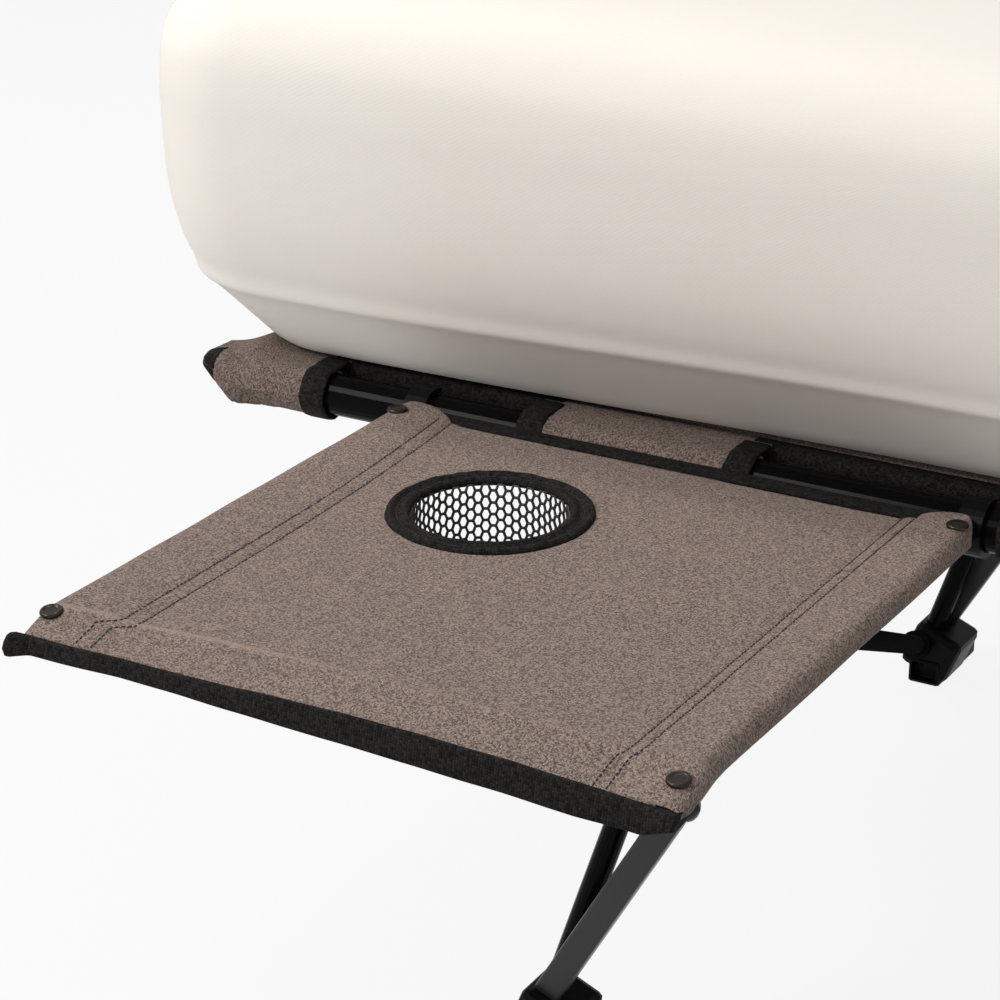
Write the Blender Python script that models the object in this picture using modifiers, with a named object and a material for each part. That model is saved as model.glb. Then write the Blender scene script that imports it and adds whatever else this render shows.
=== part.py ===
"""A single airbed cot: a folding steel frame, a fabric deck, an air mattress and a side table.

The head end is at -X, the side table hangs on the -Y rail, and Z is up from the floor. The model is
laid out about the middle of the bed and then moved, so that the origin is the middle of the floor
rectangle that the whole cot covers.
"""

from math import acos, atan2, cos, pi, radians, sin, sqrt

import bmesh
import bpy
from mathutils import Matrix, Vector

# The middle of the floor rectangle that the cot covers, measured from the middle of the bed.
FLOOR_MIDDLE = (-0.025, -0.1858)

# Rails, in metres. The deck fabric is stretched between them.
RAIL_Y = 0.365
RAIL_Z = 0.468
RAIL_RADIUS = 0.014
TUBE_WALL = 0.0015
RAIL_HALF_LENGTH = 0.985
BOW_BEND = 0.042
BOW_LEG = 0.03
GAP = 0.0003

# Deck fabric with its sleeves round the rails, and the stretches where a rail is bare.
CLOTH = 0.0016
SLEEVE_INNER = RAIL_RADIUS + GAP
DECK_TOP = RAIL_Z + SLEEVE_INNER + CLOTH
SLEEVE_TIP_X = 0.991
BARE_RAIL = ((0.752, 0.895), (0.415, 0.575))
DECK_SETBACK = 0.020
END_SLEEVE = 0.305

# Leg frames: each swings on two pins under the rails and props itself against them.
PIVOT_X = 0.512
PIVOT_DROP = 0.035
FOOT_X = 0.731
FOOT_PIVOT_Z = 0.045
LEG_DEPTH = 0.020
LEG_WIDTH = 0.012
POST_RADIUS = 0.009
POST_TOP_X = 0.605
POST_INSET = 0.0185
GUSSET_DROP = 0.028
PIN_RADIUS = 0.004
FOOT_SIZE = (0.030, 0.088, 0.024)
FOOT_HUB = (0.046, 0.050, 0.044)
FOOT_HUB_Z = 0.030
FOOT_OUTSET = 0.008
DIAGONAL_RADIUS = 0.0085
DIAGONAL_TOP_Z = 0.372

# Side table, which turns on the near rail.
TABLE_TOP = 0.4812
TABLE_FLAT = 0.4772
TABLE_CLOTH = 0.0014
POLE_X = (-0.823, -0.4335)
POLE_Z = 0.4722
POLE_RADIUS = 0.007
HEM_RADIUS = 0.009
HEM_WIDTH = 0.041
TABLE_INNER_Y = -0.3805
CREASE_Y = -0.745
TABLE_OUTER_Y = -0.7785
APRON_DROP = 0.24
OUTER_BAR_Y = -0.762
OUTER_BAR_Z = 0.4628
OUTER_BAR_ENDS = (-0.826, -0.431)
INNER_BAR_Y = -0.412
INNER_BAR_Z = 0.4690
BINDING_WIDTH = 0.009
SNAP_RADIUS = 0.0065
SNAP_Y = (-0.400, -0.7625)
CUP_CENTRE = (-0.689, -0.513)
CUP_RING_OUTER = 0.0635
CUP_OPENING = 0.0490
CUP_DEPTH = 0.092
NET_COLUMNS = 26
NET_ROWS = 5

# Air mattress, a little wider than the rails and past them at the head end.
BED_HEAD_X = -1.050
BED_FOOT_X = 1.000
BED_HALF_WIDTH = 0.410
BED_BASE = DECK_TOP + GAP
BED_CORNER = 0.100
BED_SIDE = ((0.062, 0.0), (0.040, 0.020), (0.0175, 0.068), (0.004, 0.098), (0.0, 0.140), (0.0, 0.185),
            (0.006, 0.222), (0.024, 0.250), (0.055, 0.266))
BED_CROWN = ((0.120, 0.275), (0.220, 0.281))
VALVE_RADIUS = 0.028
VALVE_Z = 0.605
VALVE_Y = 0.20

TAUPE = (0.22, 0.165, 0.14, 1.0)
CREAM = (0.80, 0.76, 0.69, 1.0)
BLACK = (0.012, 0.012, 0.013, 1.0)


def material(name, colour, roughness, metallic=0.0):
    made = bpy.data.materials.new(name)
    made.use_nodes = True
    shader = made.node_tree.nodes["Principled BSDF"]
    shader.inputs["Base Color"].default_value = colour
    shader.inputs["Roughness"].default_value = roughness
    shader.inputs["Metallic"].default_value = metallic
    made.diffuse_color = colour
    return made


def clear_scene():
    for item in list(bpy.data.objects):
        bpy.data.objects.remove(item, do_unlink=True)


def add(name, mesh, finish, parent, smooth=True):
    """Adds a mesh to the cot as one named piece."""
    piece = bpy.data.objects.new(name, mesh)
    cot.objects.link(piece)
    hang(piece, parent)
    mesh.materials.clear()
    mesh.materials.append(finish)
    if smooth:
        mesh.shade_smooth()
        mesh.set_sharp_from_angle(angle=radians(35))
    return piece


def hang(piece, parent):
    """Parents a piece to the empty on its joint's axis, and keeps it where it is drawn."""
    piece.parent = parent
    if parent.parent:
        piece.matrix_parent_inverse = Matrix.Translation(-parent.location)


def pivot(name, place):
    """An empty on a joint's axis, which carries the pieces that move on it."""
    empty = bpy.data.objects.new(name, None)
    cot.objects.link(empty)
    empty.parent = root
    empty.location = place
    return empty


def mesh_of(bm, name):
    bmesh.ops.recalc_face_normals(bm, faces=bm.faces)
    mesh = bpy.data.meshes.new(name)
    bm.to_mesh(mesh)
    bm.free()
    return mesh


def tube_mesh(name, start, end, radius, sides=20, wall=None):
    """A round tube between two points: hollow with a wall, or solid without one."""
    start = Vector(start)
    run = Vector(end) - start
    place = Matrix.Translation(start + run / 2) @ run.to_track_quat("Z", "Y").to_matrix().to_4x4()
    if wall:
        turn = 360 - 360 / sides
        rims = [arc((0, 0), reach, 0, turn, sides - 1) for reach in (radius, radius - wall)]
        return outline_mesh(name, rims, run.length, place)
    bm = bmesh.new()
    bmesh.ops.create_cone(bm, cap_ends=True, segments=sides, radius1=radius, radius2=radius,
                          depth=run.length, matrix=place)
    return mesh_of(bm, name)


def box_mesh(name, size, centre, bevel=0.0, turn=None):
    """A block with rounded edges, turned about its centre if asked."""
    bm = bmesh.new()
    bmesh.ops.create_cube(bm, size=1.0, matrix=Matrix.Diagonal((*size, 1.0)))
    if bevel:
        bmesh.ops.bevel(bm, geom=bm.edges[:], offset=bevel, segments=2, profile=0.5, affect="EDGES")
    place = Matrix.Translation(Vector(centre))
    if turn:
        place = place @ turn
    bmesh.ops.transform(bm, matrix=place, verts=bm.verts)
    return mesh_of(bm, name)


def outline_mesh(name, loops, thickness, place):
    """A flat outline, with any holes, filled and given a thickness along its own Z."""
    curve = bpy.data.curves.new(name, "CURVE")
    curve.dimensions = "2D"
    curve.fill_mode = "BOTH"
    curve.extrude = thickness / 2
    for loop in loops:
        spline = curve.splines.new("POLY")
        spline.points.add(len(loop) - 1)
        spline.use_cyclic_u = True
        for point, (x, y) in zip(spline.points, loop):
            point.co = (x, y, 0.0, 1.0)
    holder = bpy.data.objects.new(name, curve)
    cutters.objects.link(holder)
    holder.matrix_world = place
    bpy.context.view_layer.update()
    seen = holder.evaluated_get(bpy.context.evaluated_depsgraph_get())
    mesh = bpy.data.meshes.new_from_object(seen)
    mesh.transform(place)
    bpy.data.objects.remove(holder, do_unlink=True)
    bm = bmesh.new()
    bm.from_mesh(mesh)
    bmesh.ops.remove_doubles(bm, verts=bm.verts, dist=0.00001)
    bpy.data.meshes.remove(mesh)
    return mesh_of(bm, name)


def arc(centre, radius, start, end, steps):
    """Points along an arc, angles in degrees."""
    return [(centre[0] + radius * cos(radians(start + (end - start) * i / steps)),
             centre[1] + radius * sin(radians(start + (end - start) * i / steps))) for i in range(steps + 1)]


def turned_mesh(name, profile, place, sides=20):
    """A turned solid from a profile of (radius, height) that starts and ends on the axis."""
    bm = bmesh.new()
    verts = [bm.verts.new((radius, 0.0, height)) for radius, height in profile]
    edges = [bm.edges.new(pair) for pair in zip(verts, verts[1:])]
    bmesh.ops.spin(bm, geom=verts + edges, axis=(0, 0, 1), cent=(0, 0, 0), angle=2 * pi, steps=sides,
                   use_merge=True)
    bmesh.ops.remove_doubles(bm, verts=bm.verts, dist=0.00001)
    bmesh.ops.transform(bm, matrix=place, verts=bm.verts)
    return mesh_of(bm, name)


def cut(piece, cutter_mesh, operation="DIFFERENCE"):
    """Cuts a mesh out of a piece, or joins it on, and keeps the result as a plain mesh."""
    cutter = bpy.data.objects.new("cutter", cutter_mesh)
    cutters.objects.link(cutter)
    cutter.hide_render = True
    cutter.display_type = "WIRE"
    hang(cutter, piece.parent)
    step = piece.modifiers.new("cut", "BOOLEAN")
    step.operation = operation
    step.object = cutter
    bpy.context.view_layer.update()
    seen = piece.evaluated_get(bpy.context.evaluated_depsgraph_get())
    mesh = bpy.data.meshes.new_from_object(seen)
    old = piece.data
    piece.modifiers.clear()
    piece.data = mesh
    if old.users == 0:
        bpy.data.meshes.remove(old)
    bpy.data.objects.remove(cutter, do_unlink=True)


def basis(x_axis, y_axis, centre):
    """A placement whose own X and Y lie along the given directions."""
    x_axis = Vector(x_axis).normalized()
    y_axis = Vector(y_axis).normalized()
    z_axis = x_axis.cross(y_axis)
    turn = Matrix((x_axis, y_axis, z_axis)).transposed().to_4x4()
    return Matrix.Translation(Vector(centre)) @ turn


def across_section(x):
    """Places an outline drawn in Y and Z across the bed at x."""
    return basis((0, 1, 0), (0, 0, 1), (x, 0, 0))


def side_section(y):
    """Places an outline drawn in X and Z along the bed at y."""
    return basis((1, 0, 0), (0, 0, 1), (0, y, 0))


SIDES = {"near": -1, "far": 1}
ENDS = {"head": -1, "foot": 1}


def build_rails():
    """Two rails, each in two tubes that push onto an inner joiner at mid-length."""
    rail_end = RAIL_HALF_LENGTH - RAIL_RADIUS - BOW_BEND
    for side, across in SIDES.items():
        y = across * RAIL_Y
        for end, along in ENDS.items():
            start = (along * GAP, y, RAIL_Z)
            stop = (along * rail_end, y, RAIL_Z)
            add(f"{side}_rail_{end}", tube_mesh("rail", start, stop, RAIL_RADIUS, 24, TUBE_WALL),
                steel, root)
        inner = RAIL_RADIUS - TUBE_WALL - GAP
        joiner = tube_mesh("joiner", (-0.08, y, RAIL_Z), (0.08, y, RAIL_Z), inner, 16, 0.0012)
        add(f"{side}_rail_joiner", joiner, steel, root)


def build_bows():
    """The end bows: a tube bent at both corners, its thinner ends pushed into the rails."""
    rail_end = RAIL_HALF_LENGTH - RAIL_RADIUS - BOW_BEND
    axis_x = RAIL_HALF_LENGTH - RAIL_RADIUS
    for end, along in ENDS.items():
        curve = bpy.data.curves.new(f"{end}_bow", "CURVE")
        curve.dimensions = "3D"
        curve.bevel_depth = RAIL_RADIUS
        curve.bevel_resolution = 3
        curve.use_fill_caps = True
        bend = BOW_BEND - 0.004
        corner = arc((axis_x - bend, RAIL_Y - bend), bend, 90, 0, 6)
        route = [(along * x, y) for x, y in [(rail_end + GAP, RAIL_Y)] + corner]
        route += [(x, -y) for x, y in reversed(route)]
        spline = curve.splines.new("POLY")
        spline.points.add(len(route) - 1)
        for point, (x, y) in zip(spline.points, route):
            point.co = (x, y, RAIL_Z, 1.0)
        holder = bpy.data.objects.new(f"{end}_bow", curve)
        cutters.objects.link(holder)
        bpy.context.view_layer.update()
        mesh = bpy.data.meshes.new_from_object(holder.evaluated_get(bpy.context.evaluated_depsgraph_get()))
        bpy.data.objects.remove(holder, do_unlink=True)
        bm = bmesh.new()
        bm.from_mesh(mesh)
        bmesh.ops.remove_doubles(bm, verts=bm.verts, dist=0.00001)
        bow = add(f"{end}_bow", mesh_of(bm, "bow"), steel, root)
        for across in SIDES.values():
            y = across * RAIL_Y
            plug_start = (along * (rail_end - BOW_LEG), y, RAIL_Z)
            plug_end = (along * (rail_end + 0.004), y, RAIL_Z)
            cut(bow, tube_mesh("plug", plug_start, plug_end, RAIL_RADIUS - TUBE_WALL - GAP, 16), "UNION")


def build_leg_brackets():
    """A fork under the rail for each leg, with the pin that the leg turns on."""
    top = 0.0145
    half = 0.0125
    slot = LEG_WIDTH / 2 + 0.0008
    drop = PIVOT_DROP + 0.012
    saddle = arc((0, 0), top, 180 + 32, 360 - 32, 8)
    slot_top = -PIVOT_DROP + 0.0125
    outline = [(-half, -drop + 0.004)] + saddle + [(half, -drop + 0.004), (half - 0.002, -drop)]
    outline += [(slot, -drop), (slot, slot_top), (-slot, slot_top), (-slot, -drop), (-half + 0.002, -drop)]
    for side, across in SIDES.items():
        for end, along in ENDS.items():
            y = across * RAIL_Y
            placed = [(y + u, RAIL_Z + v) for u, v in outline]
            x = along * PIVOT_X
            plate = outline_mesh("bracket", [placed], 0.030, across_section(x))
            bracket = add(f"{side}_{end}_bracket", plate, steel, root)
            z = RAIL_Z - PIVOT_DROP
            cut(bracket, tube_mesh("hole", (x, y - 0.02, z), (x, y + 0.02, z), PIN_RADIUS + GAP, 16))
            head = 0.0065
            reach = half + GAP
            half_pin = [(0, 0.003), (head * 0.6, 0.0028), (head, 0.0012), (head, 0), (PIN_RADIUS, 0)]
            profile = [(radius, reach + height) for radius, height in half_pin]
            profile += [(radius, -reach - height) for radius, height in reversed(half_pin)]
            place = basis((1, 0, 0), (0, 0, 1), (x, y, z))
            add(f"{side}_{end}_pin", turned_mesh("pin", profile, place, 14), bright, root)


def deck_outline():
    """The deck's section: a sheet from rail to rail with a closed sleeve round each rail."""
    outer = SLEEVE_INNER + CLOTH
    under = DECK_TOP - CLOTH
    join = degrees_where(outer, under - RAIL_Z)
    right = arc((RAIL_Y, RAIL_Z), outer, 90, join - 360, 28)
    left = [(-y, z) for y, z in reversed(right)]
    holes = [arc((across * RAIL_Y, RAIL_Z), SLEEVE_INNER, 0, 360 - 360 / 24, 23) for across in (-1, 1)]
    return [left + right] + holes


def degrees_where(radius, height):
    """The angle past 90 degrees at which a circle comes back down to a height."""
    return 180 - atan2(height, sqrt(radius * radius - height * height)) * 180 / pi


def build_deck():
    """The taupe deck, with sleeves that leave the rails bare where table and legs fix on."""
    deck = add("deck_fabric", outline_mesh("deck", deck_outline(), 2 * SLEEVE_TIP_X, across_section(0)),
               taupe, root)
    for across in SIDES.values():
        for along in ENDS.values():
            for low, high in BARE_RAIL:
                size = (high - low, 0.1, 0.08)
                y = across * (RAIL_Y - DECK_SETBACK + 0.05)
                cut(deck, box_mesh("bare", size, (along * (low + high) / 2, y, RAIL_Z)))
            tip = RAIL_HALF_LENGTH - RAIL_RADIUS - BOW_BEND - 0.002
            size = (SLEEVE_TIP_X - tip + 0.01, RAIL_Y + 0.0005 - END_SLEEVE, 0.08)
            place = (along * (tip + size[0] / 2), across * (END_SLEEVE + size[1] / 2), RAIL_Z)
            cut(deck, box_mesh("corner", size, place))
    for along in ENDS.values():
        bar_x = along * (RAIL_HALF_LENGTH - RAIL_RADIUS)
        size = (0.08, 2 * END_SLEEVE + 0.0001, 0.08)
        cut(deck, box_mesh("end", size, (bar_x + along * 0.04, 0, RAIL_Z)))
        outer = arc((bar_x, RAIL_Z), SLEEVE_INNER + CLOTH, 0, 345, 23)
        inner = arc((bar_x, RAIL_Z), SLEEVE_INNER, 0, 345, 23)
        cut(deck, outline_mesh("sleeve", [outer, inner], 2 * END_SLEEVE, side_section(0)), "UNION")
    return deck


def rounded_rectangle(low_x, high_x, half_y, radius, steps):
    """Points round a rectangle with rounded corners, from the head end's near corner."""
    corners = (((high_x - radius, half_y - radius), 0), ((low_x + radius, half_y - radius), 90),
               ((low_x + radius, -half_y + radius), 180), ((high_x - radius, -half_y + radius), 270))
    points = []
    for centre, start in corners:
        points += arc(centre, radius, start, start + 90, steps)
    return points


def build_airbed():
    """The air mattress: drawn in to the deck below, full at the sides and crowned on top."""
    bm = bmesh.new()
    rings = []
    for inset, rise in BED_SIDE + BED_CROWN:
        radius = max(BED_CORNER - 0.5 * inset, 0.02)
        loop = rounded_rectangle(BED_HEAD_X + inset, BED_FOOT_X - inset, BED_HALF_WIDTH - inset, radius, 7)
        rings.append([bm.verts.new((x, y, BED_BASE + rise)) for x, y in loop])
    for below, above in zip(rings, rings[1:]):
        count = len(below)
        for i in range(count):
            bm.faces.new((below[i], below[(i + 1) % count], above[(i + 1) % count], above[i]))
    bm.faces.new(list(reversed(rings[0])))
    bm.faces.new(rings[-1])
    bed = add("airbed", mesh_of(bm, "airbed"), cream, root)
    x = BED_FOOT_X
    seat_place = basis((0, 1, 0), (0, 0, 1), (x - 0.007, VALVE_Y, VALVE_Z))
    reach = VALVE_RADIUS + GAP
    cut(bed, turned_mesh("seat", [(0, 0), (reach, 0), (reach, 0.03), (0, 0.03)], seat_place, 24))
    throat = 0.012
    profile = [(0, 0.0003), (VALVE_RADIUS, 0.0003), (VALVE_RADIUS, 0.0032), (throat, 0.0032)]
    profile += [(throat, 0.0018), (0, 0.0018)]
    add("valve_seat", turned_mesh("valve_seat", profile, seat_place, 24), black_plastic, root)
    lid_radius = VALVE_RADIUS - 0.003
    lid_hinge = pivot("valve_hinge", (x - 0.0005, VALVE_Y, VALVE_Z + lid_radius - 0.0005))
    lid = [(0, 0.0036), (lid_radius, 0.0036), (lid_radius, 0.0056), (lid_radius - 0.001, 0.0066), (0, 0.0066)]
    add("valve_cap", turned_mesh("valve_cap", lid, seat_place, 24), black_plastic, lid_hinge)
    return bed


def leg_line(z):
    """How far out from mid-bed the middle of a leg is at a height."""
    share = (z - FOOT_PIVOT_Z) / (RAIL_Z - PIVOT_DROP - FOOT_PIVOT_Z)
    return FOOT_X + (PIVOT_X - FOOT_X) * share


def post_line(z):
    """How far out from mid-bed the middle of a post is at a height."""
    share = (z - FOOT_PIVOT_Z) / (RAIL_Z - PIVOT_DROP - FOOT_PIVOT_Z)
    return FOOT_X + (POST_TOP_X - FOOT_X) * share


def leg_mesh(along, y, grow=0.0, low=0.012, high=None, wall=TUBE_WALL):
    """The flat-sided leg tube, leaning in the plane of its rail, with its upper end rounded."""
    high = RAIL_Z - PIVOT_DROP if high is None else high
    down = Vector((along * leg_line(low), y, low))
    up = Vector((along * leg_line(high), y, high))
    run = up - down
    half_d = LEG_DEPTH / 2 + grow
    half_w = LEG_WIDTH / 2 + grow
    place = basis(run, (0, 1, 0), down)
    if place.to_3x3().determinant() < 0:
        place = basis((0, 1, 0), run, down)
    bm = bmesh.new()
    bmesh.ops.create_cube(bm, size=1.0)
    for vert in bm.verts:
        vert.co = Vector(((vert.co.x + 0.5) * run.length, vert.co.y * 2 * half_w, vert.co.z * 2 * half_d))
    long_edges = [edge for edge in bm.edges if abs(edge.verts[0].co.x - edge.verts[1].co.x) > 0.01]
    bmesh.ops.bevel(bm, geom=long_edges, offset=0.002, segments=2, profile=0.5, affect="EDGES")
    bmesh.ops.transform(bm, matrix=place, verts=bm.verts)
    return mesh_of(bm, "leg")


def post_ends(along, y, low, high):
    return (along * post_line(low), y, low), (along * post_line(high), y, high)


def build_leg_frame(end, along):
    """One end's legs: two slanted legs, two posts that prop the rails, gussets, feet and ties."""
    pivot_z = RAIL_Z - PIVOT_DROP
    legs[end] = pivot(f"{end}_leg_hinge", (along * PIVOT_X, 0.0, pivot_z))
    for side, across in SIDES.items():
        y = across * RAIL_Y
        post_y = across * (RAIL_Y - POST_INSET)
        name = f"{side}_{end}"
        leg = add(f"{name}_leg", leg_mesh(along, y, high=pivot_z + 0.005), steel, legs[end])
        x = along * PIVOT_X
        cut(leg, tube_mesh("eye", (x, y - 0.02, pivot_z), (x, y + 0.02, pivot_z), PIN_RADIUS + GAP, 16))
        low, high = post_ends(along, post_y, 0.014, RAIL_Z + 0.01)
        post = add(f"{name}_post", tube_mesh("post", low, high, POST_RADIUS, 18), steel, legs[end])
        bite = RAIL_RADIUS + CLOTH + 2 * GAP + 0.0004
        cut(post, tube_mesh("rest", (x - 0.3, y, RAIL_Z), (x + 0.3, y, RAIL_Z), bite, 32))
        cut(post, box_mesh("above", (0.2, 0.08, 0.04), (along * POST_TOP_X, post_y, RAIL_Z + 0.012)))
        build_gusset(name, end, along, across)
        build_foot(name, end, along, across)
    build_ties(end, along)
    for side, across in SIDES.items():
        bore_foot(f"{side}_{end}", along, across)


def build_gusset(name, end, along, across):
    """A flat plate that joins the top of a post to its leg."""
    z = RAIL_Z - PIVOT_DROP - GUSSET_DROP
    half = 0.008
    inner_end = arc((leg_line(z) - 0.002, z), half, 90, 270, 8)
    outer_end = arc((post_line(z) + 0.002, z), half, -90, 90, 8)
    plate = [(along * x, height) for x, height in inner_end + outer_end]
    thick = POST_INSET - LEG_WIDTH / 2 - POST_RADIUS - 2 * GAP
    y = across * (RAIL_Y - LEG_WIDTH / 2 - GAP - thick / 2)
    add(f"{name}_gusset", outline_mesh("gusset", [plate], thick, side_section(y)), steel, legs[end])


def build_foot(name, end, along, across):
    """A moulded foot block with a hub that holds the lower ends of a leg and its post."""
    y = across * (RAIL_Y + FOOT_OUTSET)
    base = box_mesh("foot", FOOT_SIZE, (along * FOOT_X, y, FOOT_SIZE[2] / 2), 0.003)
    foot = add(f"{name}_foot_block", base, black_plastic, legs[end])
    lean = atan2(FOOT_X - PIVOT_X, RAIL_Z - PIVOT_DROP - FOOT_PIVOT_Z)
    hub_y = across * (RAIL_Y - POST_INSET / 2)
    turn = Matrix.Rotation(-along * lean * 0.75, 4, "Y")
    hub = box_mesh("hub", FOOT_HUB, (along * (FOOT_X - 0.004), hub_y, FOOT_HUB_Z), 0.006, turn)
    cut(foot, hub, "UNION")
    cut(foot, box_mesh("floor", (0.2, 0.2, 0.05), (along * FOOT_X, y, -0.025)))
    width, length, height = FOOT_SIZE
    for end_y in (y - length / 2, y + length / 2):
        mouth = (width - 0.0064, 0.020, height - 0.0064)
        cut(foot, box_mesh("mouth", mouth, (along * FOOT_X, end_y, height / 2), 0.001))


def bore_foot(name, along, across):
    """The sockets that the leg and the post stand in."""
    foot = cot.objects[f"{name}_foot_block"]
    cut(foot, leg_mesh(along, across * RAIL_Y, GAP, 0.0117, 0.2))
    low, high = post_ends(along, across * (RAIL_Y - POST_INSET), 0.0137, 0.2)
    cut(foot, tube_mesh("socket", low, high, POST_RADIUS + GAP, 18))


def build_ties(end, along):
    """The cross tube between the posts, and the slanting tie from the far foot to the near leg."""
    z = RAIL_Z - PIVOT_DROP - 0.050
    x = along * post_line(z)
    inner = RAIL_Y - POST_INSET
    spreader = add(f"{end}_spreader", tube_mesh("spreader", (x, -inner, z), (x, inner, z), POST_RADIUS, 18),
                   steel, legs[end])
    for across in SIDES.values():
        low, high = post_ends(along, across * inner, 0.2, 0.46)
        cut(spreader, tube_mesh("cope", low, high, POST_RADIUS + GAP, 24))
        beyond = across * (inner + 0.05)
        cut(spreader, box_mesh("beyond", (0.1, 0.1, 0.1), (x, beyond, z)))
    start_y = RAIL_Y - POST_INSET - POST_RADIUS - 0.0062
    low_z = 0.036
    start = Vector((along * (leg_line(low_z) + 0.004), start_y, low_z))
    stop = Vector((along * leg_line(DIAGONAL_TOP_Z), -RAIL_Y, DIAGONAL_TOP_Z))
    tie = add(f"{end}_diagonal", tube_mesh("diagonal", start, stop, DIAGONAL_RADIUS, 18),
              steel, legs[end])
    face_y = -RAIL_Y + LEG_WIDTH / 2 + GAP
    cut(tie, box_mesh("flush", (0.2, 0.1, 0.2), (stop.x, face_y - 0.05, stop.z)))
    foot = cot.objects[f"far_{end}_foot_block"]
    toward = (stop - start).normalized()
    collar = start - toward * 0.006, start + toward * 0.014
    cut(foot, tube_mesh("collar", *collar, DIAGONAL_RADIUS + 0.0045, 20), "UNION")
    cut(foot, tube_mesh("socket", start - toward * 0.0006, start + toward * 0.2, DIAGONAL_RADIUS + GAP, 18))


def table_hem(pole_x, inward):
    """One side of the table's section: down from the pole's crown, and back under to the stitching."""
    centre = (pole_x, POLE_Z)
    inner_radius = HEM_RADIUS - TABLE_CLOTH
    upper = (pole_x + inward * HEM_WIDTH, TABLE_FLAT)
    lower = (upper[0], upper[1] - TABLE_CLOTH)
    crown = tangent_angle(centre, HEM_RADIUS, upper, inward, 1)
    outside = arc(centre, HEM_RADIUS, crown, tangent_angle(centre, HEM_RADIUS, lower, inward, -1), 15)
    start = Vector(arc(centre, inner_radius, crown, crown, 1)[0])
    end = start + (Vector(lower) - start) * 0.84
    hollow = arc(centre, inner_radius, crown, tangent_angle(centre, inner_radius, end, inward, -1), 13)
    roof = [tuple(start + (Vector(lower) - start) * share) for share in (0.0, 1.0)]
    return [upper] + outside + [lower], hollow + [tuple(end)], roof


def tangent_angle(centre, radius, point, inward, over):
    """Where the line from a point touches a circle, over or under it, in degrees from the top on."""
    dx = point[0] - centre[0]
    dz = point[1] - centre[1]
    distance = sqrt(dx * dx + dz * dz)
    toward = atan2(dz, dx)
    swing = acos(radius / distance)
    angle = (toward + over * inward * swing) * 180 / pi
    if over > 0:
        return angle
    return angle % 360 if inward > 0 else angle % 360 - 360


def build_table_fabric():
    """The table's taupe top: hemmed round both poles, bent down past the outer bar."""
    left_out, left_in, left_roof = table_hem(POLE_X[0], 1)
    right_out, right_in, right_roof = table_hem(POLE_X[1], -1)
    outline = left_out + list(reversed(right_out))
    length = TABLE_INNER_Y - TABLE_OUTER_Y
    middle = (TABLE_INNER_Y + TABLE_OUTER_Y) / 2
    mesh = outline_mesh("table_fabric", [outline, left_in, right_in], length, side_section(middle))
    fabric = add("table_fabric", mesh, taupe, table)
    under = [(POLE_X[0] - 0.03, 0.44), (POLE_X[0] - 0.03, POLE_Z + 0.0055)]
    under += arc((POLE_X[0], POLE_Z), HEM_RADIUS - TABLE_CLOTH - 0.0001, 134, 96, 3)
    under += [(x, z - 0.0001) for x, z in left_roof + list(reversed(right_roof))]
    under += arc((POLE_X[1], POLE_Z), HEM_RADIUS - TABLE_CLOTH - 0.0001, 84, 46, 3)
    under += [(POLE_X[1] + 0.03, POLE_Z + 0.0055), (POLE_X[1] + 0.03, 0.44)]
    cut(fabric, outline_mesh("apron", [under], 0.06, side_section(CREASE_Y - 0.03)))
    width = POLE_X[1] - POLE_X[0] - 2 * 0.026
    middle_x = sum(POLE_X) / 2
    cut(fabric, box_mesh("edge", (width, 0.04, 0.04), (middle_x, TABLE_INNER_Y + 0.006, TABLE_TOP)))
    lower = TABLE_FLAT - TABLE_CLOTH - 0.0001
    for pole_x, inward in zip(POLE_X, (1, -1)):
        cut(fabric, box_mesh("hook_room", (0.019, 0.028, 0.04), (pole_x, TABLE_INNER_Y, 0.4587)))
        low_y = INNER_BAR_Y - 0.0125
        room = (0.05, TABLE_INNER_Y + 0.01 - low_y, 0.04)
        place = (pole_x + inward * 0.025, low_y + room[1] / 2, lower - 0.02)
        cut(fabric, box_mesh("bar_room", room, place))
    x, y = CUP_CENTRE
    cut(fabric, tube_mesh("hole", (x, y, 0.4), (x, y, 0.55), CUP_OPENING + 0.001, 32))
    bm = bmesh.new()
    bm.from_mesh(fabric.data)
    for y in (CREASE_Y, CUP_CENTRE[1] - CUP_RING_OUTER - 0.006):
        bmesh.ops.bisect_plane(bm, geom=bm.verts[:] + bm.edges[:] + bm.faces[:], dist=0.000001,
                               plane_co=(0, y, 0), plane_no=(0, 1, 0))
    for vert in bm.verts:
        past = CREASE_Y - vert.co.y
        if past > 0:
            vert.co.z -= APRON_DROP * past
    bm.to_mesh(fabric.data)
    bm.free()
    return fabric


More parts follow.
